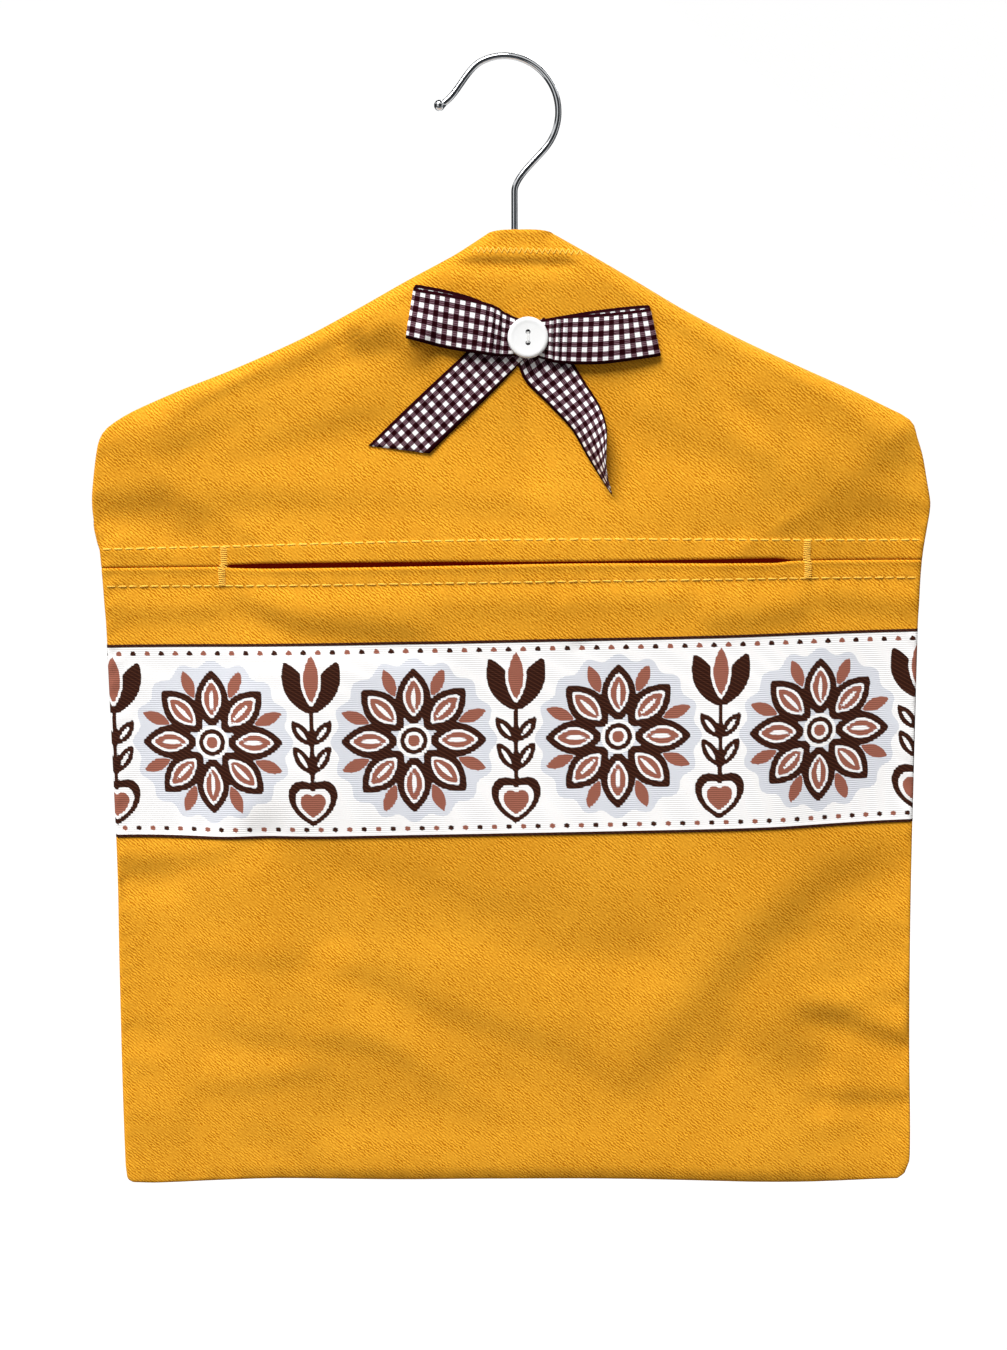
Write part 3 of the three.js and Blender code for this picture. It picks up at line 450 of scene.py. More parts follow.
LONG_VALLEYS = [
    ([(-140, -356), (-120, -378), (-115, -390), (-105, -410), (-96, -438)], 18, 2.3, 3.4),
    ([(-112, -366), (-80, -376), (-50, -385), (-20, -398), (24, -404)], 12, 0.2, -0.8),
    ([(-120, -366), (0, -394), (110, -432)], 30, 1.2, -1.7),
    ([(-80, -412), (-20, -422), (15, -430), (84, -432)], 12, 0.5, 0.8),
    ([(100, -372), (88, -405), (80, -425), (62, -464)], 12, -0.4, 0.0),
    ([(220, -370), (180, -380), (155, -388), (140, -400), (120, -415), (105, -435), (75, -475),
      (45, -508)], 18, 0.4, 3.0),
    ([(72, -506), (40, -486), (20, -474), (-10, -464), (-35, -455), (-60, -442), (-100, -426)],
     10, 0.5, 0.8),
    ([(84, -446), (40, -454), (0, -450), (-56, -430)], 14, -0.4, -0.4),
    ([(-120, -432), (-75, -452), (-50, -465), (-35, -480), (-20, -492), (40, -504)], 14, 0.0, 1.3),
    ([(92, -464), (130, -480), (168, -482)], 22, 2.0, -1.7),
    ([(-170, -541), (-20, -538), (60, -538), (200, -541)], 22, -2.2, 0.0),
    ([(-120, -518), (-20, -515), (80, -517)], 22, 0.0, 0.8),
]
LOWER_LEFT = [
    ([(-222, -379), (-185, -379), (-160, -376), (-128, -369)], 8, -0.7, -1.3),
    ([(-222, -394), (-190, -394), (-158, -391)], 9, 1.3, 0.8),
    ([(-176, -424), (-130, -426), (-100, -425), (-74, -429)], 8, -0.2, -0.4),
    ([(-156, -440), (-110, -436), (-72, -442)], 9, 0.2, 0.4),
    ([(-164, -444), (-140, -462), (-125, -466), (-98, -456)], 12, -0.4, -0.8),
    ([(-124, -471), (-90, -467), (-70, -470), (-50, -480), (-32, -500)], 9, -0.7, -0.8),
    ([(-166, -477), (-135, -475), (-104, -479)], 8, 0.2, 0.4),
    ([(-170, -495), (-135, -493), (-115, -488), (-88, -480)], 9, -0.4, -0.8),
    ([(-222, -464), (-190, -462), (-170, -467)], 6, 0.2, -0.4),
    ([(-222, -478), (-190, -477), (-170, -478)], 8, -0.2, 0.8),
    ([(-142, -514), (-110, -528), (-86, -544)], 12, 0.4, -0.8),
    ([(-226, -510), (-185, -512), (-160, -514)], 18, -1.1, -0.8),
]
LOWER_RIGHT = [
    ([(222, -414), (185, -414), (165, -410), (125, -413)], 8, 0.0, 0.4),
    ([(222, -434), (185, -432), (160, -428), (124, -422)], 9, 0.2, -0.4),
    ([(222, -446), (185, -449), (150, -455)], 8, -0.4, 0.8),
    ([(222, -478), (185, -469), (165, -460), (132, -450)], 10, -0.5, 3.4),
    ([(222, -504), (185, -503), (165, -502), (138, -499)], 8, 0.4, 1.7),
    ([(222, -519), (180, -520), (140, -527)], 9, 0.5, 0.2),
]
FOLDS = NECK_AND_ARMS + ROUND_THE_SLIT + LONG_VALLEYS + LOWER_LEFT + LOWER_RIGHT
print("folds:", len(FOLDS))

# %% Depth of the folds
END_FADE = 0.22
WAVES = np.random.RandomState(7).uniform(0, 1, (16, 3))
WAVE_SLOPE, SHORTEST_WAVE, WAVE_SPREAD = 0.0006, 28, 70


def fold_depth(x, z):
    """How far the folds push the cloth in, in millimetres."""
    total = np.zeros(np.shape(x))
    for stroke, width, dent, step in FOLDS:
        path = np.array(stroke, float)
        lengths = np.hypot(*np.diff(path, axis=0).T)
        nearest = np.full(np.shape(x), FAR_OFF)
        along, side = np.zeros((2, *np.shape(x)))
        for k, (start, end) in enumerate(zip(path[:-1], path[1:])):
            share, gap_x, gap_z = to_segment(x, z, start, end)
            gap = np.hypot(gap_x, gap_z)
            closer = gap < nearest
            nearest = np.where(closer, gap, nearest)
            run = end - start
            side = np.where(closer, np.sign(run[0] * gap_z - run[1] * gap_x), side)
            along = np.where(closer, (lengths[:k].sum() + share * lengths[k]) / lengths.sum(), along)
        bell = np.exp(-(nearest / width) ** 2) * ease(np.minimum(along, 1 - along), 0, END_FADE)
        total += bell * (dent + step * side * nearest / width)
    for turn, size, phase in WAVES:
        wavelength = SHORTEST_WAVE + WAVE_SPREAD * size
        heading = math.pi * turn
        total += WAVE_SLOPE * wavelength * np.cos(
            2 * math.pi * ((x * math.cos(heading) + z * math.sin(heading)) / wavelength + phase))
    return total


print("slow waves:", len(WAVES))

# %% [markdown]
# ## The slit's hems
# The mouth is a seam left open between two bar tacks. Both cut edges are turned in and topstitched,
# so each side shows a folded edge, a slightly thicker strip, and a groove where the thread pulls.
# The lower edge stands a little proud. The lines wander by a millimetre or two, as hand-guided
# sewing does, and the mouth is pinched almost shut a little right of its middle.

# %% Slit and stitch lines
TACK_X = 137.0
ROW_X = [-196, -140, -55, 60, 140, 194]
slit_line = np.poly1d(np.polyfit([-196, -140, -55, 60, TACK_X, 194],
                                 [-234, -233.6, -231.8, -231.7, -231.1, -231.4], 3))
upper_row = np.poly1d(np.polyfit(ROW_X, [-225, -224, -221.2, -221.1, -221.3, -222], 4))
lower_row = np.poly1d(np.polyfit(ROW_X, [-243, -242.6, -241.3, -240.2, -239.8, -240], 3))
SLIT_OPEN = 1.2
PINCH_AT, PINCH_REACH, PINCH = 30.0, 62.0, 0.65
LEFT_BLUNT, LEFT_RUN, RIGHT_POINT, RIGHT_RUN, TACK_RUN = 0.65, 20, 0.1, (3, 14), (-2, 0.5)


def slit_half_gap(x):
    """Half the mouth's height at rest: blunt at the left, pinched in the middle, pointed at the right."""
    opened = SLIT_OPEN * (1 - PINCH * np.exp(-((x - PINCH_AT) / PINCH_REACH) ** 2))
    left_end = LEFT_BLUNT + (1 - LEFT_BLUNT) * ease(x, -TACK_X, LEFT_RUN - TACK_X)
    right_end = RIGHT_POINT + (1 - RIGHT_POINT) * ease(TACK_X - x, *RIGHT_RUN)
    return opened * left_end * right_end * ease(TACK_X - np.abs(x), *TACK_RUN)


print("the mouth stands open by up to", round(2 * SLIT_OPEN, 1), "mm")

# %% Full surfaces of the front and the back
HEM_RISE, HEM_STEP = 0.45, (-1.0, 1.4)
GROOVE_DEPTH, GROOVE_REACH = 0.1, 0.9
LIP_PROUD, LIP_REACH = 0.4, 2.5
ROW_PUCKER, ROW_PUCKER_REACH = 0.25, 6
SEAM_PUCKER, SEAM_PUCKER_REACH, SEAM_BARE = 0.3, 6, 2
FRONT_BELLY, BACK_BELLY, BACK_FOLD_SHARE = 13.5, 7.5, 0.45
NECK_BOW = 1.2
SEAM_MARGIN = 3.5
DEEPEST, LAYERS_APART = 2.5, 0.2


def draped(x, z, distance, belly, folds, wood_reach):
    """A panel's depth: the plain surface, folds, puckers along the seams, and the neck's folded edge."""
    depth = stand_off(x, z, belly, distance) - ease(distance, 0, SEAM_MARGIN) * folds
    fading = np.exp(-distance / SEAM_PUCKER_REACH) * ease(distance, 0, SEAM_BARE)
    depth += SEAM_PUCKER * fading * np.sin(0.66 * z + 0.41 * np.abs(x))
    depth = np.where(distance > SEAM_BARE, over_wood(depth, wood_reach, x, z), depth)
    return depth - EDGE_ROLL + rolled(np.maximum(NECK_Z + NECK_BOW - z, 0))


def front_y(x, z, below=None):
    """The front's outer face. below says whether a point is under the slit; by default Z decides."""
    below = z < slit_line(x) if below is None else below
    distance = seam_distance(x, z)
    away = ease(distance, 0, SEAM_MARGIN)
    depth = draped(x, z, distance, FRONT_BELLY, fold_depth(x, z), WOOD_FRONT)
    edge = np.where(below, slit_line(x) - z, z - slit_line(x)) - slit_half_gap(x)
    row = np.where(below, lower_row(x) - z, z - upper_row(x))
    depth += HEM_RISE * away * (1 - ease(row, *HEM_STEP))
    depth += rolled(np.maximum(edge, 0), SLIT_ROLL) - SLIT_ROLL
    depth -= GROOVE_DEPTH * away * np.exp(-(row / GROOVE_REACH) ** 2)
    depth += LIP_PROUD * below * away * np.exp(-(edge / LIP_REACH) ** 2)
    puckers = np.exp(-(row / ROW_PUCKER_REACH) ** 2) * np.sin(0.48 * x + 2 * np.sin(x / 29))
    return -np.maximum(depth + ROW_PUCKER * away * puckers, -DEEPEST * away)


def back_y(x, z):
    """The back's outer face. Where the bag is flat, a deep fold of the front pushes the back too."""
    distance = seam_distance(x, z)
    depth = draped(x, z, distance, BACK_BELLY, BACK_FOLD_SHARE * fold_depth(-x, z), WOOD_BACK)
    pushed = ease(distance, 0, SEAM_MARGIN) * (2 * CLOTH + LAYERS_APART + front_y(x, z))
    return np.maximum(np.maximum(depth, 0.0), pushed)


belly = float(front_y(np.array([0.0]), np.array([-400.0]))[0])
print("belly stands", round(-belly, 1), "mm in front of the middle plane")

# %% [markdown]
# ## Cloth as a grid
# A panel is a grid of quads that follows its outline, close together at the folded edges and the
# stitch lines and wider in the open cloth. A Solidify modifier then gives the cloth its thickness,
# and each panel carries a UV map in millimetres so that the weave follows the cloth.

# %% Grid helpers
EDGE_STEPS = np.array([0, 0.25, 0.6, 1.1, 1.8, 3, 5, 7.5, 10.5, 14, 18, 22.5])
STEP_ACROSS, NARROW, OPEN_WIDTH = 2.6, 120, 352


def columns_for(left, right_side, step, beside=EDGE_STEPS):
    """Places across one row, seam to seam."""
    near = beside * min(1, (right_side - left) / NARROW)
    middle = np.linspace(left + near[-1], right_side - near[-1], int(OPEN_WIDTH / step) + 1)
    return np.concatenate([left + near[:-1], middle, right_side - near[-2::-1]])


def rows_between(*stops):
    """Levels through (level, step) stops, where a step holds as far as the next stop."""
    levels = []
    for (top, step), (bottom, _) in zip(stops[:-1], stops[1:]):
        levels.extend(np.linspace(top, bottom, max(1, round((top - bottom) / step)), endpoint=False))
    return np.array(levels + [stops[-1][0]])


def settled(source, name):
    """What an object's modifiers make, as a plain mesh of its own. The source is removed."""
    graph = bpy.context.evaluated_depsgraph_get()
    mesh = bpy.data.meshes.new_from_object(source.evaluated_get(graph), preserve_all_data_layers=True,
                                           depsgraph=graph)
    bpy.data.objects.remove(source)
    mesh.name = name
    return linked(name, mesh)


def grid_piece(name, place, flat, finish, thickness, flip=False, offset=-1.0, inside=None):
    """A sheet from rows x columns of points in mm, with a UV map in mm and a thickness."""
    rows, columns = place.shape[:2]
    index = np.arange(rows * columns).reshape(rows, columns)
    ring = [index[:-1, :-1], index[1:, :-1], index[1:, 1:], index[:-1, 1:]]
    quads = np.stack(ring[::-1] if flip else ring, axis=-1).reshape(-1, 4)
    mesh = bpy.data.meshes.new(name)
    mesh.from_pydata((place.reshape(-1, 3) * MM).tolist(), [], quads.tolist())
    mesh.polygons.foreach_set("use_smooth", [True] * len(quads))
    corners = np.empty(len(mesh.loops), int)
    mesh.loops.foreach_get("vertex_index", corners)
    layer = mesh.uv_layers.new(name="flat_mm")
    layer.data.foreach_set("uv", flat.reshape(-1, 2)[corners].ravel())
    mesh.materials.append(finish)
    wall = linked(name + "_sheet", mesh)
    solid = wall.modifiers.new("thickness", "SOLIDIFY")
    solid.thickness = thickness * MM
    solid.offset = offset
    if inside:
        mesh.materials.append(inside)
        solid.material_offset = 1
    return wall


def report_piece(piece):
    piece.data.calc_loop_triangles()
    size = [round(1000 * s, 1) for s in piece.dimensions]
    print(piece.name, "size mm", size, "triangles", len(piece.data.loop_triangles))


print("columns at the belly:", len(columns_for(-197, 197, STEP_ACROSS)))

# %% [markdown]
# ## Mustard cotton twill
# Twill is woven so that fine ribs run on the slant, here down to the right. They are drawn 1.3 mm
# apart, a little coarser than the real ones, so that they show. Dyed cotton is matt and slightly
# uneven in colour, and in washed cloth the ribs come and go. The ribs are also painted lighter than
# the grooves between them, a painted shade of their relief.
# The wrong side is darker, and it has a faint deep red-brown emission, seen where the slit lets one
# look in: painted glow that stands in for daylight through the cloth.

# %% Twill finish
TWILL_SPACING, TWILL_SLANT = 1.3, (0.64, 0.77, 0)
RIB_SHADE_SHARE, RIB_WANDER, RIB_HEIGHT = 0.75, 2.0, 0.0004
# Scales count features per millimetre: slubs and flecks are near 2 mm, worn patches near 5 cm.
SLUB, FLECK = {"Scale": 0.55, "Detail": 3.0}, {"Scale": 0.8, "Detail": 4.0, "Roughness": 0.7}
PATCH, MILLING = {"Scale": 0.02, "Detail": 2.0}, {"Scale": 0.14, "Detail": 2.0}


def twill_finish(name, light, dark):
    finish, tree, shader = new_finish(name, 0.95, Specular_IOR_Level=0.08)
    flat = add_node(tree, "UVMap", {"uv_map": "flat_mm"})
    slub, fleck, patch, milling = [add_node(tree, "TexNoise", noise, {"Vector": flat})
                                   for noise in (SLUB, FLECK, PATCH, MILLING)]
    slant = add_node(tree, "VectorMath", {"operation": "DOT_PRODUCT", 1: TWILL_SLANT}, {0: flat})
    drift = add_node(tree, "Math", {"operation": "MULTIPLY_ADD", 1: RIB_WANDER},
                     {0: slub, 2: slant.outputs["Value"]})
    turn = add_node(tree, "Math", {"operation": "MULTIPLY", 1: 2 * math.pi / TWILL_SPACING}, {0: drift})
    rib = add_node(tree, "Math", {"operation": "SINE"}, {0: turn})
    crisp = add_node(tree, "MapRange", {"From Min": 0.35, "From Max": 0.65, "To Min": 0.2},
                     {"Value": milling})
    rib_relief_and_shade = add_node(tree, "Math", {"operation": "MULTIPLY"}, {0: rib, 1: crisp})
    worn = add_node(tree, "Math", {"operation": "MULTIPLY_ADD", 1: 0.35, 2: 0.33}, {0: patch})
    grain = add_node(tree, "Math", {"operation": "ADD"}, {0: fleck, 1: worn})
    # The ribs tint the colour as well as the bump: painted shade of the ribs' relief.
    tone = add_node(tree, "Math", {"operation": "MULTIPLY_ADD", 1: RIB_SHADE_SHARE}, {0: rib_relief_and_shade, 2: grain})
    share = add_node(tree, "MapRange", {"From Min": 0.5, "From Max": 1.4}, {"Value": tone})
    colour = add_node(tree, "Mix", {"data_type": "RGBA", 6: linear(dark), 7: linear(light)},
                      {"Factor": share})
    bump = add_node(tree, "Bump", {"Strength": 0.22, "Distance": RIB_HEIGHT}, {"Height": rib_relief_and_shade})
    link_in(shader, {"Base Color": colour.outputs[2], "Normal": bump})
    return finish


twill = twill_finish("mustard_cotton_twill", "#F9B432", "#BF7307")
# The wrong side's emission is painted glow that stands in for daylight through the cloth.
wrong_side_painted_glow = twill_finish("mustard_twill_wrong_side_painted_glow", "#A8661C", "#8A4E12")
glow_sockets = wrong_side_painted_glow.node_tree.nodes["Principled BSDF"].inputs
glow_sockets["Emission Color"].default_value = linear("#F02806")
glow_sockets["Emission Strength"].default_value = 0.06
print("twill ribs every", TWILL_SPACING, "mm")

# %% [markdown]
# ## The front in two panels
# The upper panel runs from the neck to the slit, the lower one from the slit to the hem. Rows near
# the slit lean with its line. The lower panel is one sheet across the mouth's joint, so it bends
# between the bag and the lip, and the bend fades out towards the tacks that hold its ends.

# %% Front panels
NECK_MIDDLE, NECK_HALF, NECK_FADE = 2.6, 15.4, -84
ABOVE_SLIT, UNDER_SLIT = (196, 222), (-262, -244)
neck_rows, hem_rows = NECK_Z - EDGE_STEPS[:5], HEM_Z + EDGE_STEPS[5::-1]
upper_levels = np.concatenate([
    neck_rows, rows_between((-80.2, 1.0), (-97, 2.6), (-212, 0.7), (-226, 0.9), (-229.5, 1)),
    SLIT_Z + EDGE_STEPS[4::-1]])
lower_levels = np.concatenate([
    SLIT_Z - EDGE_STEPS[:5], rows_between((-235.2, 0.9), (-238, 0.7), (-247, 2.6), (-536, 1)), hem_rows])


def panel_points(levels, shift):
    x = np.stack([columns_for(a, b, STEP_ACROSS) for a, b in zip(*seam_sides(levels))])
    z = np.repeat(levels[:, None], x.shape[1], axis=1)
    return x, z + shift(x, z)


def neck_shift(x, z):
    bow = 1 - np.clip(np.abs(x - NECK_MIDDLE) / NECK_HALF, 0, 1) ** 2
    return NECK_BOW * bow * ease(z, NECK_FADE, NECK_Z)


def upper_shift(x, z):
    return (slit_line(x) + slit_half_gap(x) - SLIT_Z) * ease(-z, *ABOVE_SLIT) + neck_shift(x, z)


def lower_shift(x, z):
    return (slit_line(x) - slit_half_gap(x) - SLIT_Z) * ease(z, *UNDER_SLIT) + hem_shift(x, z)


def front_panel(name, levels, shift, below):
    x, z = panel_points(levels, shift)
    place = np.stack([x, front_y(x, z, below), z], -1)
    panel = settled(grid_piece(name, place, np.stack([x, z], -1), twill, CLOTH, inside=wrong_side_painted_glow), name)
    report_piece(panel)
    return panel


upper_cloth = front_panel("upper_front_cloth", upper_levels, upper_shift, False)
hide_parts("upper_front_panel")
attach(upper_cloth, "bag")
lower_cloth = front_panel("lower_front_cloth", lower_levels, lower_shift, True)
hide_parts("lower_front_panel", "mouth_lip")

# %% [markdown]
# ## The mouth's bend
# The lip turns about a line 27 mm below the slit. Each point of the lower cloth gets a share of that
# turn: none below the line, all of it above, and less and less towards the bar tacks. So the mouth
# opens as a curve, as a hand would pull it.

# %% Bend the lip with the mouth
BEND_LOW = Vector((0, -0.0125, -0.2650))
BEND_HIGH = Vector((0, -0.0125, -0.2530))
FULL_BEND_HALF, BEND_POWER = 40.0, 1.3


def bend_with_mouth(piece):
    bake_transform(piece, "bag", "lower_lip", start=BEND_LOW, end=BEND_HIGH)
    count = len(piece.data.vertices)
    place = np.empty(3 * count)
    piece.data.vertices.foreach_get("co", place)
    weights = np.empty(count, np.float32)
    share = piece.data.attributes["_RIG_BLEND"].data
    share.foreach_get("value", weights)
    inward = np.clip((TACK_X - np.abs(place[0::3]) / MM) / (TACK_X - FULL_BEND_HALF), 0, 1)
    weights *= np.sin(inward * math.pi / 2) ** BEND_POWER
    share.foreach_set("value", weights.astype(np.float32))
    print(piece.name, "bends at", int((weights > 0).sum()), "of", count, "points")


bend_with_mouth(lower_cloth)

# %% [markdown]
# ## The plain back
# The back is one panel of the same cloth. It lies against the wall or the line, so its folds are
# shallower than the front's.

# %% Back panel
back_levels = np.concatenate([neck_rows, rows_between((-80.2, 1.0), (-97, 2.6), (-536, 1)), hem_rows])


def back_shift(x, z):
    return neck_shift(x, z) + hem_shift(x, z)


x, z = panel_points(back_levels, back_shift)
back_points = np.stack([x, back_y(x, z), z], -1)
back_cloth = settled(grid_piece("back_cloth", back_points, np.stack([-x, z], -1), twill, CLOTH, flip=True,
                                inside=wrong_side_painted_glow), "back_cloth")
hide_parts("back_panel")
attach(back_cloth, "bag")
report_piece(back_cloth)

# %% [markdown]
# ## The woven band's border design
# The trim is a jacquard ribbon: its picture is woven in with coloured yarns. This one has large
# rosettes on pale blue-grey rounds, and hearts and tulips on stems between them, from plain
# geometry in millimetres. A petal or leaf is its start, its end and its half width. Each yarn's
# share is worked out at every point of the band's grid and kept as an attribute, and the finish
# turns a share above one half into that yarn's colour.

# %% Motifs of the border
BAND_LONG, BAND_TALL, REPEAT = 392.0, 95.4, 98.0
SELVAGE = 1.4
ROUND_RADIUS, ROUND_WAVE, CORE_RADIUS = 38.5, 1.6, 8.2
PETAL, PETAL_GAP, PETAL_HEART, PETAL_VEIN = (7, 35, 8.2), (11.5, 31, 5.0), (13, 29.5, 3.7), (14, 27, 1.0)
SMALL_PETAL, CORE_RING, CORE_DOT = (23, 37.5, 3.0), (4.4, 6.6), 2.9
STEM_LOW, STEM_TOP, STEM_HALF = -20, 24, 0.95
LEAVES, LEAF_HALF, LEAF_SLIT = ((-16, 17, 58), (-2, 16, 52)), 3.3, 0.95
TULIP_SIDE, TULIP_GAP, TULIP_HEART, TULIP_CUP = (-3, 24, 5.6), (17, 43.5, 5.0), (19, 42, 3.7), (20.5, 6.2)
DARK_HEART, HEART_GAP, TAN_HEART = (31.5, 10.4), (31.7, 7.4), (31.9, 5.4)


def pointed(along, across, start, end, half):
    """A leaf or petal from start to end along its own axis."""
    share = np.clip((along - start) / (end - start), 0, 1)
    return (np.abs(across) < half * np.sin(math.pi * share) ** 0.8) & (along > start) & (along < end)


def heart(x, y, below, size):
    x, y = x / size, (y + below) / size
    return (x * x + y * y - 1) ** 3 - x * x * y ** 3 < 0


def turned_axes(x, y, degrees):
    c, s = math.cos(math.radians(degrees)), math.sin(math.radians(degrees))
    return x * c + y * s, y * c - x * s


def rosette(x, y):
    radius, angle = np.hypot(x, y), np.arctan2(y, x)
    eighth = math.pi / 4
    on_petal = (angle + eighth / 2) % eighth - eighth / 2
    between = angle % eighth - eighth / 2
    along, across = radius * np.cos(on_petal), radius * np.sin(on_petal)
    petal, gap, middle, vein = [pointed(along, across, *shape)
                                for shape in (PETAL, PETAL_GAP, PETAL_HEART, PETAL_VEIN)]
    middle |= pointed(radius * np.cos(between), radius * np.sin(between), *SMALL_PETAL)
    core = radius < CORE_RADIUS
    dark = (petal & ~gap & ~core) | ((radius > CORE_RING[0]) & (radius < CORE_RING[1]))
    tan = (middle & ~vein & ~core) | (radius < CORE_DOT)
    grey = radius < ROUND_RADIUS + ROUND_WAVE * np.cos(16 * angle)
    return dark, tan, grey & ~core & ~(gap & ~tan)


def stem_motif(x, y):
    side = np.abs(x)
    dark = (side < STEM_HALF) & (y > STEM_LOW) & (y < STEM_TOP)
    for base, length, lean in LEAVES:
        along, across = turned_axes(side, y - base, lean)
        slit = pointed(along, across, 3.5, length - 3, LEAF_SLIT)
        dark |= pointed(along, across, 0.6, length, LEAF_HALF) & ~slit
    along, across = turned_axes(side - 3.2, y - 17, 66)
    dark |= pointed(along, across, *TULIP_SIDE) | (np.hypot(side, y - TULIP_CUP[0]) < TULIP_CUP[1])
    dark &= ~pointed(y, x, *TULIP_GAP)
    dark |= heart(x, y, *DARK_HEART)
    dark &= ~heart(x, y, *HEART_GAP)
    return dark, pointed(y, x, *TULIP_HEART) | heart(x, y, *TAN_HEART)


print("motifs repeat every", REPEAT, "mm")

# %% Yarns of the border
BEAD_PITCH, BEAD_LONG, BEAD_TALL, BEAD_AT = 7, 2.1, 1.5, 4.6


def yarn_shares(along, down):
    """Dark, tan and grey yarn at points of the band, along it and down from its top edge, in mm."""
    up = BAND_TALL / 2 - down
    dark, tan, grey = rosette(along % REPEAT - REPEAT / 2, up)
    more_dark, more_tan = stem_motif((along + REPEAT / 2) % REPEAT - REPEAT / 2, up)
    edge = np.minimum(down, BAND_TALL - down)
    off_bead = np.abs((along % BEAD_PITCH) - BEAD_PITCH / 2) / BEAD_LONG
    bead = off_bead + np.abs(edge - BEAD_AT) / BEAD_TALL < 1
    tan_bead = ((along // BEAD_PITCH) % 2 == 0) & bead
    dark = dark | more_dark | (bead & ~tan_bead) | (edge < SELVAGE)
    tan = (tan | more_tan | tan_bead) & ~(edge < SELVAGE)
    return dark & ~tan, tan, grey & ~more_dark & ~more_tan


sample = yarn_shares(*np.meshgrid(np.arange(0, BAND_LONG, 0.5), np.arange(0, BAND_TALL, 0.5)))
print("share of dark, tan and grey yarn:", [round(float(s.mean()), 2) for s in sample])

# %% Woven band finish
WEFT_SPACING, DASH_SLANT, WEFT_HEIGHT = 1.0, (1.9, -3.2, 0), 0.0003
RAGGED = 0.05


def woven_finish(name):
    """A jacquard ribbon: weft ribs across, drawn at 1 mm, and slanting binder dashes in the dark."""
    finish, tree, shader = new_finish(name, 0.8, Specular_IOR_Level=0.1)
    flat = add_node(tree, "UVMap", {"uv_map": "flat_mm"})
    axes = add_node(tree, "SeparateXYZ", None, {0: flat})
    weft = add_node(tree, "Math", {"operation": "MULTIPLY", 1: 2 * math.pi / WEFT_SPACING},
                    {0: axes.outputs[1]})
    ribs = add_node(tree, "Math", {"operation": "SINE"}, {0: weft})
    slant = add_node(tree, "VectorMath", {"operation": "DOT_PRODUCT", 1: DASH_SLANT}, {0: flat})
    dashes = add_node(tree, "Math", {"operation": "SINE"}, {0: slant.outputs["Value"]})
    dash = add_node(tree, "MapRange", {"From Min": 0.55, "From Max": 1.0, "To Max": 0.55},
                    {"Value": dashes})
    fibre = add_node(tree, "TexNoise", {"Scale": 0.9, "Detail": 2.0}, {"Vector": flat})
    white, brown = [
        add_node(tree, "Mix", {"data_type": "RGBA", 6: linear(low), 7: linear(high)}, {"Factor": share})
        for low, high, share in (("#FDF9F8", "#FFFFFE", fibre), ("#33160C", "#5F3623", dash))]
    ragged = add_node(tree, "Math", {"operation": "MULTIPLY", 1: RAGGED}, {0: ribs})
    layer = white.outputs[2]
    for yarn, colour in (("grey_yarn", "#DDDFE6"), ("tan_yarn", "#9C5F4E"), ("dark_yarn", None)):
        share = add_node(tree, "Attribute", {"attribute_name": yarn})
        stepped = add_node(tree, "Math", {"operation": "ADD"}, {0: share.outputs["Fac"], 1: ragged})
        shown = add_node(tree, "MapRange", {"From Min": 0.42, "From Max": 0.58}, {"Value": stepped})
        over = add_node(tree, "Mix", {"data_type": "RGBA"}, {"Factor": shown, 6: layer})
        if colour:
            over.inputs[7].default_value = linear(colour)
        else:
            link_in(over, {7: brown.outputs[2]})
        layer = over.outputs[2]
    bump = add_node(tree, "Bump", {"Strength": 0.25, "Distance": WEFT_HEIGHT}, {"Height": ribs})
    link_in(shader, {"Base Color": layer, "Normal": bump})
    return finish


woven = woven_finish("woven_jacquard_ribbon")
print("yarns: white, grey, tan and dark brown")

# %% [markdown]
# ## The band on the bag
# The ribbon is sewn flat across the front, a degree off level, with its ends caught in the side
# seams. It follows every fold of the cloth under it, half a millimetre proud, and its woven edges
# are a little thicker.

# %% Woven band
BAND_TOP, BAND_SLOPE = -268.0, math.tan(math.radians(0.95))
BAND_STANDS, BAND_THICK, SELVAGE_RISE = 0.6, 0.5, 0.25
BAND_STEP_DOWN, BAND_STEP_ACROSS, SPOTS, SPOT_STEP = 1.2, 1.08, 4, 0.3
down = np.concatenate([[0, 0.3, 0.7, SELVAGE], np.arange(2.6, BAND_TALL - 2, BAND_STEP_DOWN),
                       BAND_TALL - np.array([SELVAGE, 0.7, 0.3, 0])])
middle_z = BAND_TOP - down
x = np.stack([columns_for(a, b, BAND_STEP_ACROSS, EDGE_STEPS[:6]) for a, b in zip(*seam_sides(middle_z))])
z = middle_z[:, None] + BAND_SLOPE * x
from_edge = np.minimum(down, BAND_TALL - down)[:, None]
stands = BAND_STANDS + SELVAGE_RISE * np.exp(-((from_edge - 0.7) / 0.6) ** 2)
y = front_y(x, z, True) - stands * ease(seam_distance(x, z), -0.5, 2)
flat = np.stack([x + BAND_LONG / 2, np.repeat(down[:, None], x.shape[1], 1)], -1)
band_sheet = grid_piece("woven_band", np.stack([x, y, z], -1), flat, woven, BAND_THICK)
shares = np.zeros((3, x.size))
spots = (np.arange(SPOTS) - (SPOTS - 1) / 2) * SPOT_STEP
for along_step in spots:
    for down_step in spots:
        yarns = np.stack(yarn_shares(flat[..., 0] + along_step, flat[..., 1] + down_step))
        shares += yarns.reshape(3, -1) / SPOTS ** 2
for yarn, values in zip(("dark_yarn", "tan_yarn", "grey_yarn"), shares):
    layer = band_sheet.data.attributes.new(yarn, "FLOAT", "POINT")
    layer.data.foreach_set("value", values.astype(np.float32))
woven_band = settled(band_sheet, "woven_band")
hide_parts("ribbon_band")
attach(woven_band, "bag")
report_piece(woven_band)

# %% [markdown]
# ## Thread
# Sewing thread is two plies twisted together, a little shinier than the cloth and a shade lighter.
# The twist is 1 mm long on the real thread, and its slanting light and dark is painted shade
# between the plies.

# %% Thread finishes
PLY_TWIST = (5200, 2000, 3600)


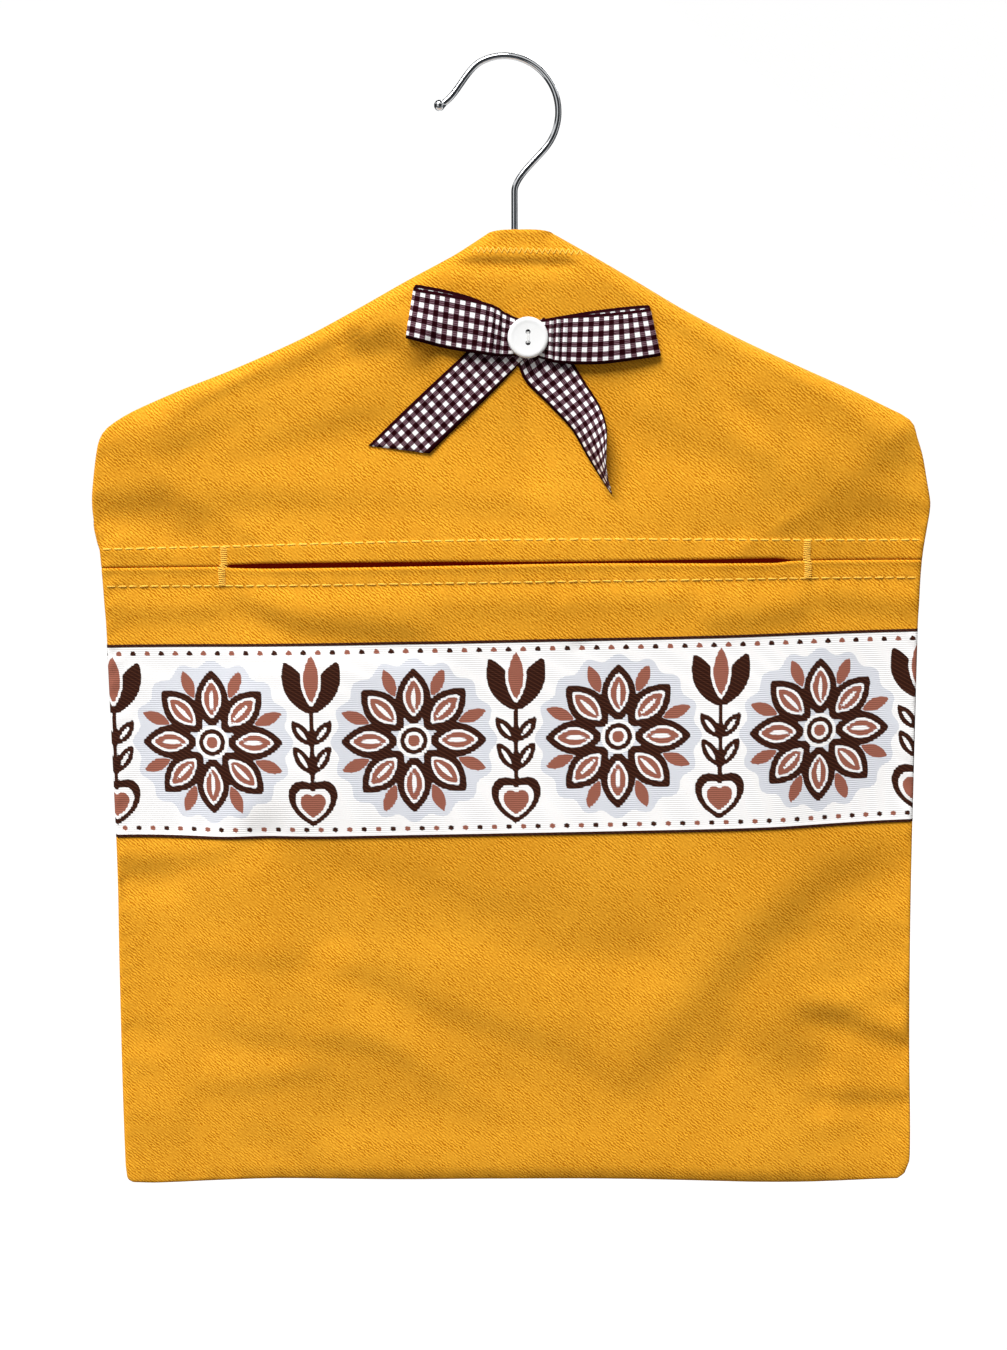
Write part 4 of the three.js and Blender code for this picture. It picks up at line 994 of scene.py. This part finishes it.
def thread_finish(name, light, dark):
    finish, tree, shader = new_finish(name, 0.7, Specular_IOR_Level=0.12)
    place = add_node(tree, "TexCoord")
    twist = add_node(tree, "VectorMath", {"operation": "DOT_PRODUCT", 1: PLY_TWIST},
                     {0: place.outputs["Object"]})
    # The twist's light and dark is painted shade in the grooves between the plies.
    ply_groove_shade = add_node(tree, "Math", {"operation": "SINE"}, {0: twist.outputs["Value"]})
    share = add_node(tree, "MapRange", {"From Min": -1.0, "From Max": 1.0}, {"Value": ply_groove_shade})
    colour = add_node(tree, "Mix", {"data_type": "RGBA", 6: linear(dark), 7: linear(light)},
                      {"Factor": share})
    link_in(shader, {"Base Color": colour.outputs[2]})
    return finish


mustard_thread = thread_finish("mustard_sewing_thread", "#FFCB55", "#F6B945")
white_thread = thread_finish("white_sewing_thread", "#FFFFFD", "#F0EFED")
print("threads:", mustard_thread.name, white_thread.name)

# %% [markdown]
# ## Stitches
# A row of stitches repeats along a path, which is what Geometry Nodes are for. The path is cut into
# steps of one stitch, and on each point stands a short arch of thread, turned along the path and
# towards the viewer. The same tree lays the topstitching, the dense bar tacks, which are only much
# closer and turned across, and the button's thread.

# %% Stitch tree
STITCH_SIZES = "Pitch", "Stitch length", "Thread thickness", "Arch"
ARCH_SEGMENTS, THREAD_SIDES, LEAN_SEED = 5, 6, 11


def new_tree(name, kinds):
    """A geometry tree that takes a path, a finish and some numbers, with its group input."""
    tree = bpy.data.node_groups.new(name, "GeometryNodeTree")
    for label, kind in {"Path": "Geometry", **kinds, "Finish": "Material"}.items():
        tree.interface.new_socket(label, in_out="INPUT", socket_type="NodeSocket" + kind)
    tree.interface.new_socket("Result", in_out="OUTPUT", socket_type="NodeSocketGeometry")
    return tree, add_node(tree, "NodeGroupInput").outputs


def send_out(tree, geometry, finish):
    """Ends a tree with real, smooth geometry in its finish."""
    for step in ("RealizeInstances", "SetShadeSmooth", "SetMaterial"):
        geometry = add_node(tree, "GeometryNode" + step, None, {0: geometry})
    link_in(geometry, {"Material": finish})
    add_node(tree, "NodeGroupOutput", None, {0: geometry})
    return tree


def stitch_tree():
    labels = (*STITCH_SIZES, "Turn", "Unevenness")
    tree, given = new_tree("stitch_row", {label: "Float" for label in labels})
    half, minus, dip, peak, radius = [
        add_node(tree, "Math", {"operation": "MULTIPLY", 1: factor}, {0: given[label]})
        for label, factor in (("Stitch length", 0.5), ("Stitch length", -0.5), ("Arch", -0.6),
                              ("Arch", 1.6), ("Thread thickness", 0.5))]
    start = add_node(tree, "CombineXYZ", None, {0: minus, 2: dip})
    middle = add_node(tree, "CombineXYZ", None, {2: peak})
    end = add_node(tree, "CombineXYZ", None, {0: half, 2: dip})
    arch = add_node(tree, "GeometryNodeCurveQuadraticBezier", {"Resolution": ARCH_SEGMENTS},
                    {"Start": start, "Middle": middle, "End": end})
    ring = add_node(tree, "GeometryNodeCurvePrimitiveCircle", {"Resolution": THREAD_SIDES},
                    {"Radius": radius})
    thread = add_node(tree, "GeometryNodeCurveToMesh", {"Fill Caps": True},
                      {"Curve": arch, "Profile Curve": ring})
    steps = add_node(tree, "GeometryNodeResampleCurve", {"mode": "LENGTH"},
                     {"Curve": given["Path"], "Length": given["Pitch"]})
    heading = add_node(tree, "GeometryNodeInputTangent")
    along = add_node(tree, "FunctionNodeAlignRotationToVector", {"axis": "X"}, {"Vector": heading})
    facing = add_node(tree, "FunctionNodeAlignRotationToVector",
                      {"axis": "Z", "pivot_axis": "X", "Vector": (0, -1, 0)}, {"Rotation": along})
    low, high = [add_node(tree, "Math", {"operation": sign}, {0: given["Turn"], 1: given["Unevenness"]})
                 for sign in ("SUBTRACT", "ADD")]
    lean = add_node(tree, "FunctionNodeRandomValue", {"data_type": "FLOAT", "Seed": LEAN_SEED},
                    {2: low, 3: high})
    spin = add_node(tree, "CombineXYZ", None, {2: lean.outputs[1]})
    turned = add_node(tree, "FunctionNodeRotateRotation", {"rotation_space": "LOCAL"},
                      {0: facing, 1: spin})
    placed = add_node(tree, "GeometryNodeInstanceOnPoints", None,
                      {"Points": steps, "Instance": thread, "Rotation": turned})
    return send_out(tree, placed, given["Finish"])


STITCHES = stitch_tree()
print("stitch tree nodes:", len(STITCHES.nodes))

# %% [markdown]
# ## The topstitching and the bar tacks
# Both rows run the full width, about five millimetres to a stitch. The lower row lies on the lip as
# well, so it bends with the mouth. The tacks join the two rows at the slit's ends.

# %% Topstitch rows and tacks
ROW_FROM_LEFT, ROW_FROM_RIGHT, ROW_POINTS, ROW_SUNK = 4.5, 5, 160, 0.15
TACK_OUT, TACK_ENDS, TACK_POINTS, TACK_RAISED, TACK_CLIMB, JOG_HALF = 2.1, 0.4, 40, 0.05, 2, 0.8


def stitch_values(finish, sizes, turn, unevenness):
    """What the stitch tree takes: four sizes in mm, in its order, and two angles in radians."""
    values = {label: size * MM for label, size in zip(STITCH_SIZES, sizes)}
    return {**values, "Turn": turn, "Unevenness": unevenness, "Finish": finish}


def path_object(name, points, radii=None):
    """A curve through points in mm, and with a radius at each in mm if given."""
    curve = bpy.data.curves.new(name, "CURVE")
    curve.dimensions = "3D"
    spline = curve.splines.new("POLY")
    spline.points.add(len(points) - 1)
    for k, (point, place) in enumerate(zip(spline.points, points)):
        point.co = (place[0] * MM, place[1] * MM, place[2] * MM, 1)
        point.radius = 1 if radii is None else radii[k]
    return linked(name, curve)


def grown(path, tree, name, values):
    """Runs a geometry tree on a path and returns its result as a plain mesh object."""
    step = path.modifiers.new("grow", "NODES")
    step.node_group = tree
    sockets = {s.name: s.identifier for s in tree.interface.items_tree if s.in_out == "INPUT"}
    for label, value in values.items():
        step[sockets[label]] = value
    return settled(path, name)


TOPSTITCH = stitch_values(mustard_thread, (5.3, 3.9, 1.05, 0.14), turn=0.0, unevenness=0.07)
BAR_TACK = stitch_values(mustard_thread, (0.95, 3.2, 0.85, 0.25), turn=1.45, unevenness=0.08)


def stitch_row(name, line, below):
    left, right_side = seam_sides(line(0.0))
    across = np.linspace(float(left) + ROW_FROM_LEFT, float(right_side) - ROW_FROM_RIGHT, ROW_POINTS)
    level = line(across)
    points = np.stack([across, front_y(across, level, below) + ROW_SUNK, level], -1)
    return grown(path_object("row_path", points), STITCHES, name, TOPSTITCH)


upper_stitches = stitch_row("upper_stitches", upper_row, False)
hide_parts("upper_topstitch")
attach(upper_stitches, "bag")
lower_stitches = stitch_row("lower_stitches", lower_row, True)
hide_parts("lower_topstitch_left", "lower_topstitch_right", "lip_topstitch")
bend_with_mouth(lower_stitches)
for side, name, jog in ((-1, "left", -1.3), (1, "right", 0.7)):
    across = np.full(TACK_POINTS, side * (TACK_X + TACK_OUT))
    level = np.linspace(upper_row(across[0]) - TACK_ENDS, lower_row(across[0]) + TACK_ENDS, TACK_POINTS)
    depth = np.minimum(front_y(across, level), front_y(across, level + TACK_CLIMB)) - TACK_RAISED
    sideways = across + jog * ease(slit_line(across) - level, -JOG_HALF, JOG_HALF)
    path = path_object("tack_path", np.stack([sideways, depth, level], -1))
    tack = grown(path, STITCHES, "bar_tack_stitches_" + name, BAR_TACK)
    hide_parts("bar_tack_" + name)
    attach(tack, "bag")
    report_piece(tack)
for row in (upper_stitches, lower_stitches):
    report_piece(row)

# %% [markdown]
# ## Thread and wire along a path
# The neck's zigzag and the hook are one round section carried along a line. Curve to Mesh does that,
# and takes the section's radius from the path, which lets the hook end in a ball and a rivet.

# %% Wire tree
def wire_tree():
    tree, given = new_tree("round_wire", {"Sides": "Int"})
    ring = add_node(tree, "GeometryNodeCurvePrimitiveCircle", {"Radius": MM},
                    {"Resolution": given["Sides"]})
    radius = add_node(tree, "GeometryNodeInputRadius")
    wire = add_node(tree, "GeometryNodeCurveToMesh", {"Fill Caps": True},
                    {"Curve": given["Path"], "Profile Curve": ring, "Scale": radius})
    return send_out(tree, wire, given["Finish"])


WIRE = wire_tree()
print("wire tree nodes:", len(WIRE.nodes))

# %% Neck zigzag, front and back
ZIGZAG_PITCH, ZIGZAG_MIDDLE, ZIGZAG_TOP, ZIGZAG_LOW = 2.7, 6.0, -85.5, -88.1
ZIGZAG_POINTS, ZIGZAG_FINE, ZIGZAG_SLOPE = 39, 8, 0.024
ZIGZAG_RADIUS, ZIGZAG_SIDES, ZIGZAG_ARCH, ZIGZAG_SUNK = 0.3, 7, 0.1, 0.05
corner = np.arange(ZIGZAG_POINTS)
fine = np.linspace(0, ZIGZAG_POINTS - 1, ZIGZAG_FINE * (ZIGZAG_POINTS - 1) + 1)
across = ZIGZAG_MIDDLE + (corner - (ZIGZAG_POINTS - 1) / 2) * ZIGZAG_PITCH / 2
across = np.interp(fine, corner, across)
level = np.interp(fine, corner, np.where(corner % 2 == 0, ZIGZAG_LOW, ZIGZAG_TOP)) - ZIGZAG_SLOPE * across
stands = ZIGZAG_ARCH * np.abs(np.sin(math.pi * fine)) - ZIGZAG_SUNK
for side, name, surface in ((-1, "front", front_y), (1, "back", back_y)):
    points = np.stack([across, surface(across, level) + side * stands, level], -1)
    path = path_object("zigzag_path", points, [ZIGZAG_RADIUS] * len(fine))
    zigzag = grown(path, WIRE, "neck_zigzag_" + name + "_thread",
                   {"Sides": ZIGZAG_SIDES, "Finish": mustard_thread})
    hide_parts("neck_zigzag_" + name)
    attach(zigzag, "bag")
    report_piece(zigzag)

# %% [markdown]
# ## Gingham ribbon
# Gingham has equal stripes both ways: white where light crosses light, near black burgundy where
# dark crosses dark, and a mixed mauve where they cross each other. The ribbon is 24 mm wide with
# checks about 2.5 mm square and a dark woven edge. Single threads, drawn 0.9 mm apart, line the
# mixed squares.

# %% Gingham finish
RIBBON_WIDE, CHECK_PITCH, DARK_EDGE, EDGE_BLUR = 24.0, 4.9, 1.7, 0.3
GINGHAM_THREAD, GINGHAM_HEIGHT = 0.9, 0.0003


def gingham_finish(name):
    finish, tree, shader = new_finish(name, 0.9, Specular_IOR_Level=0.03)
    flat = add_node(tree, "UVMap", {"uv_map": "flat_mm"})
    axes = add_node(tree, "SeparateXYZ", None, {0: flat})
    stripes = []
    for axis in (0, 1):
        turn = add_node(tree, "Math", {"operation": "MULTIPLY", 1: 2 * math.pi / CHECK_PITCH},
                        {0: axes.outputs[axis]})
        wave = add_node(tree, "Math", {"operation": "COSINE"}, {0: turn})
        stripes.append(add_node(tree, "MapRange", {"From Min": 0.22, "From Max": -0.12}, {"Value": wave}))
    both, either = [add_node(tree, "Math", {"operation": way}, {0: stripes[0], 1: stripes[1]})
                    for way in ("MULTIPLY", "MAXIMUM")]
    threads = add_node(tree, "Math", {"operation": "MULTIPLY", 1: 2 * math.pi / GINGHAM_THREAD},
                       {0: axes.outputs[1]})
    lines = add_node(tree, "Math", {"operation": "SINE"}, {0: threads})
    line_share = add_node(tree, "MapRange", {"From Min": -1.0, "From Max": 1.0}, {"Value": lines})
    mixed = add_node(tree, "Mix", {"data_type": "RGBA", 6: linear("#3A0E1B"), 7: linear("#846872")},
                     {"Factor": line_share})
    pale = add_node(tree, "Mix", {"data_type": "RGBA", 6: linear("#FFFFFF")},
                    {"Factor": either, 7: mixed.outputs[2]})
    off_middle = add_node(tree, "Math", {"operation": "ABSOLUTE"}, {0: axes.outputs[1]})
    edge_from = RIBBON_WIDE / 2 - DARK_EDGE
    edge = add_node(tree, "MapRange", {"From Min": edge_from, "From Max": edge_from + EDGE_BLUR},
                    {"Value": off_middle})
    dark = add_node(tree, "Math", {"operation": "MAXIMUM"}, {0: both, 1: edge})
    colour = add_node(tree, "Mix", {"data_type": "RGBA", 7: linear("#240309")},
                      {"Factor": dark, 6: pale.outputs[2]})
    bump = add_node(tree, "Bump", {"Strength": 0.1, "Distance": GINGHAM_HEIGHT}, {"Height": lines})
    link_in(shader, {"Base Color": colour.outputs[2], "Normal": bump})
    return finish


gingham = gingham_finish("gingham_ribbon_burgundy")
print("checks every", CHECK_PITCH, "mm")

# %% [markdown]
# ## The bow
# One ribbon makes both loops: it runs out behind, folds round at the end, and comes back in front to
# the button. Each station gives the ribbon's two edges, top and bottom, and a smooth curve runs
# through the stations. The pattern's length is measured along the ribbon itself, so the checks
# crowd together where it dives under the button, as on the real one.

# %% Ribbon helpers
RIBBON_THICK, RIBBON_COLUMNS = 0.45, 14


def ribbon_points(first_edge, second_edge, bulge):
    """A grid of points between two edges, bowed towards the viewer, and its flat size."""
    share = np.linspace(0, 1, RIBBON_COLUMNS + 1)[None, :, None]
    place = first_edge[:, None] * (1 - share) + second_edge[:, None] * share
    place[..., 1] -= bulge[:, None] * 4 * share[..., 0] * (1 - share[..., 0])
    steps = np.linalg.norm(np.diff(place, axis=0), axis=-1)
    along = np.vstack([np.zeros(RIBBON_COLUMNS + 1), np.cumsum(steps, axis=0)])
    wide = np.repeat(RIBBON_WIDE * (share[..., 0] - 0.5), len(place), axis=0)
    return place, np.stack([along, wide], -1)


def ribbon_piece(name, place, flat):
    piece = settled(grid_piece(name, place, flat, gingham, RIBBON_THICK, offset=0.0), name)
    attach(piece, "bag")
    report_piece(piece)
    return piece


print("ribbon", RIBBON_WIDE, "mm wide")

# %% Bow loops
BUTTON_X, BUTTON_BACK, BUTTON_Z = 6.0, -12.2, -127.0
LOOP_STATIONS = [
    (2, -10.0, -119, 1, -10.0, -135), (-20, -10.0, -108.2, -22, -10.0, -131.2),
    (-43.2, -10.2, -102.8, -47, -10.2, -126.4), (-46.3, -11.2, -103.4, -49.9, -11.2, -127.2),
    (-45, -12.2, -104.6, -48.6, -12.2, -127.9), (-28.6, -13.0, -107.6, -31, -13.0, -132.1),
    (-11, -13.1, -111.8, -14, -13.1, -134.8), (-3.5, -12.3, -116, -5, -12.3, -135.6),
    (6, -11.2, -119.2, 6, -11.2, -135), (15.5, -12.3, -118.4, 15, -12.3, -137.4),
    (23, -13.2, -117.2, 22, -13.2, -139), (41.7, -13.2, -116.2, 41, -13.2, -139.2),
    (60.6, -12.3, -114.2, 65.2, -12.3, -136), (62.2, -11.2, -113.2, 67.2, -11.2, -135),
    (60, -10.2, -112.2, 64.6, -10.2, -134.2), (38, -10.0, -114.4, 40, -10.0, -137),
    (9, -10.0, -119, 10, -10.0, -135.5),
]
LOOP_STEPS, LOOP_BULGE, LOOP_FRONT, LOOP_TURN = 16, 0.5, (11.3, 12.4), (10.2, 12.4)
GATHER, GATHER_AT, GATHER_REACH, GATHER_PITCH, GATHER_EDGE = 1.4, 14, 5.5, 3.4, 0.6
BACK_CLEAR, FRONT_CLEAR = 0.6, 1.8
edges = smooth_through(LOOP_STATIONS, LOOP_STEPS)
in_front = ease(-edges[:, 1], *LOOP_FRONT)
place, flat = ribbon_points(edges[:, :3], edges[:, 3:], LOOP_BULGE * in_front)
share = flat[..., 1] / RIBBON_WIDE + 0.5
from_button = np.abs(edges[:, 0] - BUTTON_X)
gather = GATHER * np.exp(-((from_button - GATHER_AT) / GATHER_REACH) ** 2)[:, None]
gather = gather * np.sin(2 * math.pi * place[..., 0] / GATHER_PITCH)
gather *= 1 - GATHER_EDGE * (2 * share - 1) ** 2
place[..., 1] += gather * in_front[:, None]
clear = front_y(place[..., 0], place[..., 2]) - BACK_CLEAR
clear -= FRONT_CLEAR * ease(-edges[:, 1], *LOOP_TURN)[:, None]
place[..., 1] = np.minimum(place[..., 1], clear)
lengths = np.linalg.norm(np.diff(place, axis=0), axis=-1).mean(axis=1)
flat[1:, :, 0] = np.cumsum(lengths)[:, None]
bow = ribbon_piece("bow_loops_ribbon", place, flat)
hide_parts("bow_loops")

# %% Bow tails
TAIL_LIES, TAIL_NEAREST, TAIL_BULGE = 0.55, 0.5, 0.3
LEFT_TAIL = [(-6, -118, 8, -132.5), (-25.6, -135.9, -8.5, -149.8), (-47.4, -155.7, -25.5, -166),
             (-69.3, -176.4, -40.4, -180.2)]
LEFT_STEPS, LEFT_HEADING, LEFT_ACROSS = 12, (-0.735, -0.678), (0.678, -0.735)
RIPPLE, RIPPLE_LENGTH, RIPPLE_FADE, WIDTH_ROW = 0.5, 9, (4, 20), 10
RIGHT_STEPS = 9
RIGHT_TAIL = [
    (-4, -130.9, 0, 13.6, -117.4, 0), (1.1, -139.1, 0, 19.2, -125.6, 0),
    (5.3, -147.4, 0, 24.3, -133.8, 0.5), (16.4, -158.4, 0, 31.8, -145.9, 1.6),
    (26.7, -169.4, 0, 39.6, -158.5, 4.5), (34.4, -182.4, 0.2, 42.6, -169, 8.5),
    (39.9, -191.2, 0.5, 42.2, -179, 9.5), (45.3, -199.6, 1.4, 41.8, -188.2, 7),
]

tail = smooth_through(LEFT_TAIL, LEFT_STEPS)
share = np.linspace(0, 1, RIBBON_COLUMNS + 1)[None, :]
x = tail[:, 0:1] * (1 - share) + tail[:, 2:3] * share
z = tail[:, 1:2] * (1 - share) + tail[:, 3:4] * share
from_x, from_z = x - LEFT_TAIL[1][0], z - LEFT_TAIL[1][1]
along = from_x * LEFT_HEADING[0] + from_z * LEFT_HEADING[1]
wide = from_x * LEFT_ACROSS[0] + from_z * LEFT_ACROSS[1]
wide = (wide - wide.mean()) * RIBBON_WIDE / np.ptp(wide[WIDTH_ROW])
y = front_y(x, z) - TAIL_LIES - RIPPLE * np.sin(along / RIPPLE_LENGTH) ** 2 * ease(along, *RIPPLE_FADE)
left_tail = ribbon_piece("bow_left_tail_ribbon", np.stack([x, y, z], -1), np.stack([along, wide], -1))
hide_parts("bow_left_tail")

tail = smooth_through(RIGHT_TAIL, RIGHT_STEPS)
first, second = [np.stack([x, front_y(x, z) - TAIL_LIES - lift, z], -1)
                 for x, z, lift in (tail[:, :3].T, tail[:, 3:].T)]
place, flat = ribbon_points(first, second, TAIL_BULGE * tail[:, 5])
place[..., 1] = np.minimum(place[..., 1], front_y(place[..., 0], place[..., 2]) - TAIL_NEAREST)
right_tail = ribbon_piece("bow_right_tail_ribbon", place, flat)
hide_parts("bow_right_tail")

# %% [markdown]
# ## The button
# A two-hole shell button, turned on a lathe: rounded rim, a shallow step inside it, and two drilled
# holes one above the other. A profile is carried round its axis, and a Boolean drills the holes.
# Shell is polished and faintly clouded. Where it is drilled it is rough, and the hole walls are
# painted dark grey: painted shade in the hollows.

# %% Button
PROFILE = [(0, 0), (8.6, 0), (9.2, 0.35), (9.5, 1.1), (9.45, 1.8), (9.2, 2.4), (8.7, 2.68), (8.0, 2.74),
           (7.3, 2.7), (6.8, 2.62), (6.2, 2.58), (3, 2.55), (0, 2.55)]
HOLE_RADIUS, HOLE_SPACING, DRILL_FROM, DRILL_TO = 1.15, 5.0, -1, 5
BUTTON_SIDES, DRILL_SIDES, SHARP_ANGLE = 72, 24, math.radians(40)


def turned_solid(name, profile, sides, finish):
    """A closed lathe shape: radius and depth towards the viewer, round the Y axis."""
    mesh = bpy.data.meshes.new(name)
    shape = bmesh.new()
    rings = []
    for radius, depth in profile:
        turns = [2 * math.pi * k / sides for k in range(sides)] if radius else [0.0]
        rings.append([shape.verts.new((radius * math.cos(t) * MM, -depth * MM, radius * math.sin(t) * MM))
                      for t in turns])
    for low, high in zip(rings[:-1], rings[1:]):
        for k in range(sides):
            pairs = [(low, k), (low, k + 1), (high, k + 1), (high, k)]
            shape.faces.new(list(dict.fromkeys(ring[place % len(ring)] for ring, place in pairs)))
    bmesh.ops.recalc_face_normals(shape, faces=shape.faces)
    shape.to_mesh(mesh)
    shape.free()
    mesh.materials.append(finish)
    return linked(name, mesh)


shell = mottled_finish("polished_trochus_shell", 0.3, "#FAFAF9", "#FFFFFF", "TexNoise",
                       {"Scale": 160.0, "Detail": 4.0, "Distortion": 1.2}, Specular_IOR_Level=0.5)
# The hole walls' dark grey is painted shade in the hollows; the drills carry it there.
drilled = mottled_finish("drill_hole_painted_shade", 0.9, "#403D3A", "#585551", "TexNoise", {"Scale": 2200.0})
disc = turned_solid("button_disc", PROFILE, BUTTON_SIDES, shell)
drill_profile = [(0, DRILL_FROM), (HOLE_RADIUS, DRILL_FROM), (HOLE_RADIUS, DRILL_TO), (0, DRILL_TO)]
drills = []
for sign in (-1, 1):
    drill = turned_solid("drill", drill_profile, DRILL_SIDES, drilled)
    drill.data.transform(Matrix.Translation((0, 0, sign * HOLE_SPACING / 2 * MM)))
    cut = disc.modifiers.new("hole", "BOOLEAN")
    cut.operation = "DIFFERENCE"
    cut.object = drill
    cut.material_mode = "TRANSFER"
    drills.append(drill)
button = settled(disc, "shell_button")
for drill in drills:
    bpy.data.objects.remove(drill)
button.data.transform(Matrix.Translation((BUTTON_X * MM, BUTTON_BACK * MM, BUTTON_Z * MM)))
button.data.polygons.foreach_set("use_smooth", [True] * len(button.data.polygons))
button.data.set_sharp_from_angle(angle=SHARP_ANGLE)
print("holes drilled:", len(drills))

# %% Button on the bag, and its thread
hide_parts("button")
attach(button, "bag")
report_piece(button)

STRANDS_OUT, STRANDS_HALF = 2.5, 0.5
BUTTON_STITCH = stitch_values(white_thread, (0.5, 5.2, 0.4, 0.1), turn=math.pi / 2, unevenness=0.03)
strands = path_object("strand_path", [(BUTTON_X + side * STRANDS_HALF, BUTTON_BACK - STRANDS_OUT, BUTTON_Z)
                                      for side in (-1, 1)])
button_thread = grown(strands, STITCHES, "button_thread_strands", BUTTON_STITCH)
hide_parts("button_thread")
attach(button_thread, "bag")
report_piece(button_thread)

# %% [markdown]
# ## The hook
# Three millimetre steel wire, bright plated: a straight shank, a swan neck, a round bend and a tip
# that flares up to a ball. The path is the same as the solid's. Its lower end is riveted over the
# washer inside the hanger.

# %% Chrome hook
WIRE_RADIUS, WIRE_SIDES, CURVE_STEPS = 1.5, 28, 24
SHANK_LOW, SHANK_TOP, SHANK_POINTS = -118.6, -59, 12
BEND_CENTRE, BEND_RADIUS, BEND_FROM, BEND_TO, BEND_POINTS = np.array((-4.5, -23.065)), 25.0, -42, 115, 64
BALL_AT, BALL_RADIUS, BALL_FROM, BALL_POINTS, TIP_ANGLE = np.array((-34.8, -20)), 2.5, -1.95, 18, 20
RIVET = [(-120.2, 0.05), (-120.19, 3.1), (-119.9, 3.5), (-118.9, 3.5), (-118.62, 3.1),
         (-118.61, WIRE_RADIUS)]


def cubic(a, b, c, d):
    t = np.linspace(0, 1, CURVE_STEPS + 1)[1:, None]
    a, b, c, d = map(np.array, (a, b, c, d))
    return (1 - t) ** 3 * a + 3 * t * (1 - t) ** 2 * b + 3 * t * t * (1 - t) * c + t ** 3 * d


rivet = np.array([(0, level) for level, _ in RIVET])
shank = np.stack([np.zeros(SHANK_POINTS), np.linspace(SHANK_LOW, SHANK_TOP, SHANK_POINTS)], -1)
swan = cubic((0, SHANK_TOP), (0, -53), (8.06, -46.48), (14.08, -39.79))
bend = np.radians(np.linspace(BEND_FROM, BEND_TO, BEND_POINTS))[1:]
bend = BEND_CENTRE + BEND_RADIUS * np.stack([np.cos(bend), np.sin(bend)], -1)
flare = cubic(bend[-1], (-22.77, -4.0), (-26.81, -17.09), BALL_AT)
tip_way = -np.array((math.cos(math.radians(TIP_ANGLE)), math.sin(math.radians(TIP_ANGLE))))
ball_steps = np.linspace(BALL_FROM, BALL_RADIUS, BALL_POINTS)
ball = BALL_AT + ball_steps[:, None] * tip_way
flare = flare[(flare - ball[0]) @ tip_way < -0.1]
line = np.vstack([rivet, shank, swan, bend, flare, ball])
radii = np.full(len(line), WIRE_RADIUS)
radii[:len(RIVET)] = [radius for _, radius in RIVET]
radii[-BALL_POINTS:] = np.sqrt(np.maximum(BALL_RADIUS ** 2 - ball_steps ** 2, 0.02))
chrome = mottled_finish("bright_plated_steel", 0.14, "#B9BBBE", "#D5D7D9", "TexNoise",
                        {"Scale": 900.0, "Detail": 2.0}, Metallic=1.0)
path = path_object("hook_path", np.stack([line[:, 0], np.zeros(len(line)), line[:, 1]], -1), radii)
hook = grown(path, WIRE, "hook_wire", {"Sides": WIRE_SIDES, "Finish": chrome})
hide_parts("hanger_hook")
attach(hook, "hook")
report_piece(hook)

# %% [markdown]
# ## What is inside
# The hanger and its washer have the right shape already, so their solids stay and get a finish:
# beech with its short flecks and long pale grain, and plain zinc-coated steel.

# %% Beech hanger and steel washer
GRAIN_STRETCH, GRAIN_HEIGHT = (12, 160, 160), 0.0003
beech, tree, shader = new_finish("lacquered_beech", 0.45, Coat_Weight=0.15)
place_node = add_node(tree, "TexCoord")
stretch = add_node(tree, "Mapping", {"Scale": GRAIN_STRETCH}, {"Vector": place_node.outputs["Object"]})
grain = add_node(tree, "TexNoise", {"Scale": 2.0, "Detail": 5.0}, {"Vector": stretch})
colour = add_node(tree, "Mix", {"data_type": "RGBA", 6: linear("#BE9562"), 7: linear("#E2C294")},
                  {"Factor": grain})
bump = add_node(tree, "Bump", {"Strength": 0.15, "Distance": GRAIN_HEIGHT}, {"Height": grain})
link_in(shader, {"Base Color": colour.outputs[2], "Normal": bump})
zinc = mottled_finish("zinc_coated_steel", 0.35, "#9EA1A5", "#BFC2C5", "TexVoronoi", {"Scale": 600.0},
                      Metallic=1.0)
for node, finish in (("hanger_body", beech), ("hook_washer", zinc)):
    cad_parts[node].data.materials.clear()
    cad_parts[node].data.materials.append(finish)
print("carried over:", "hanger_body", "hook_washer")
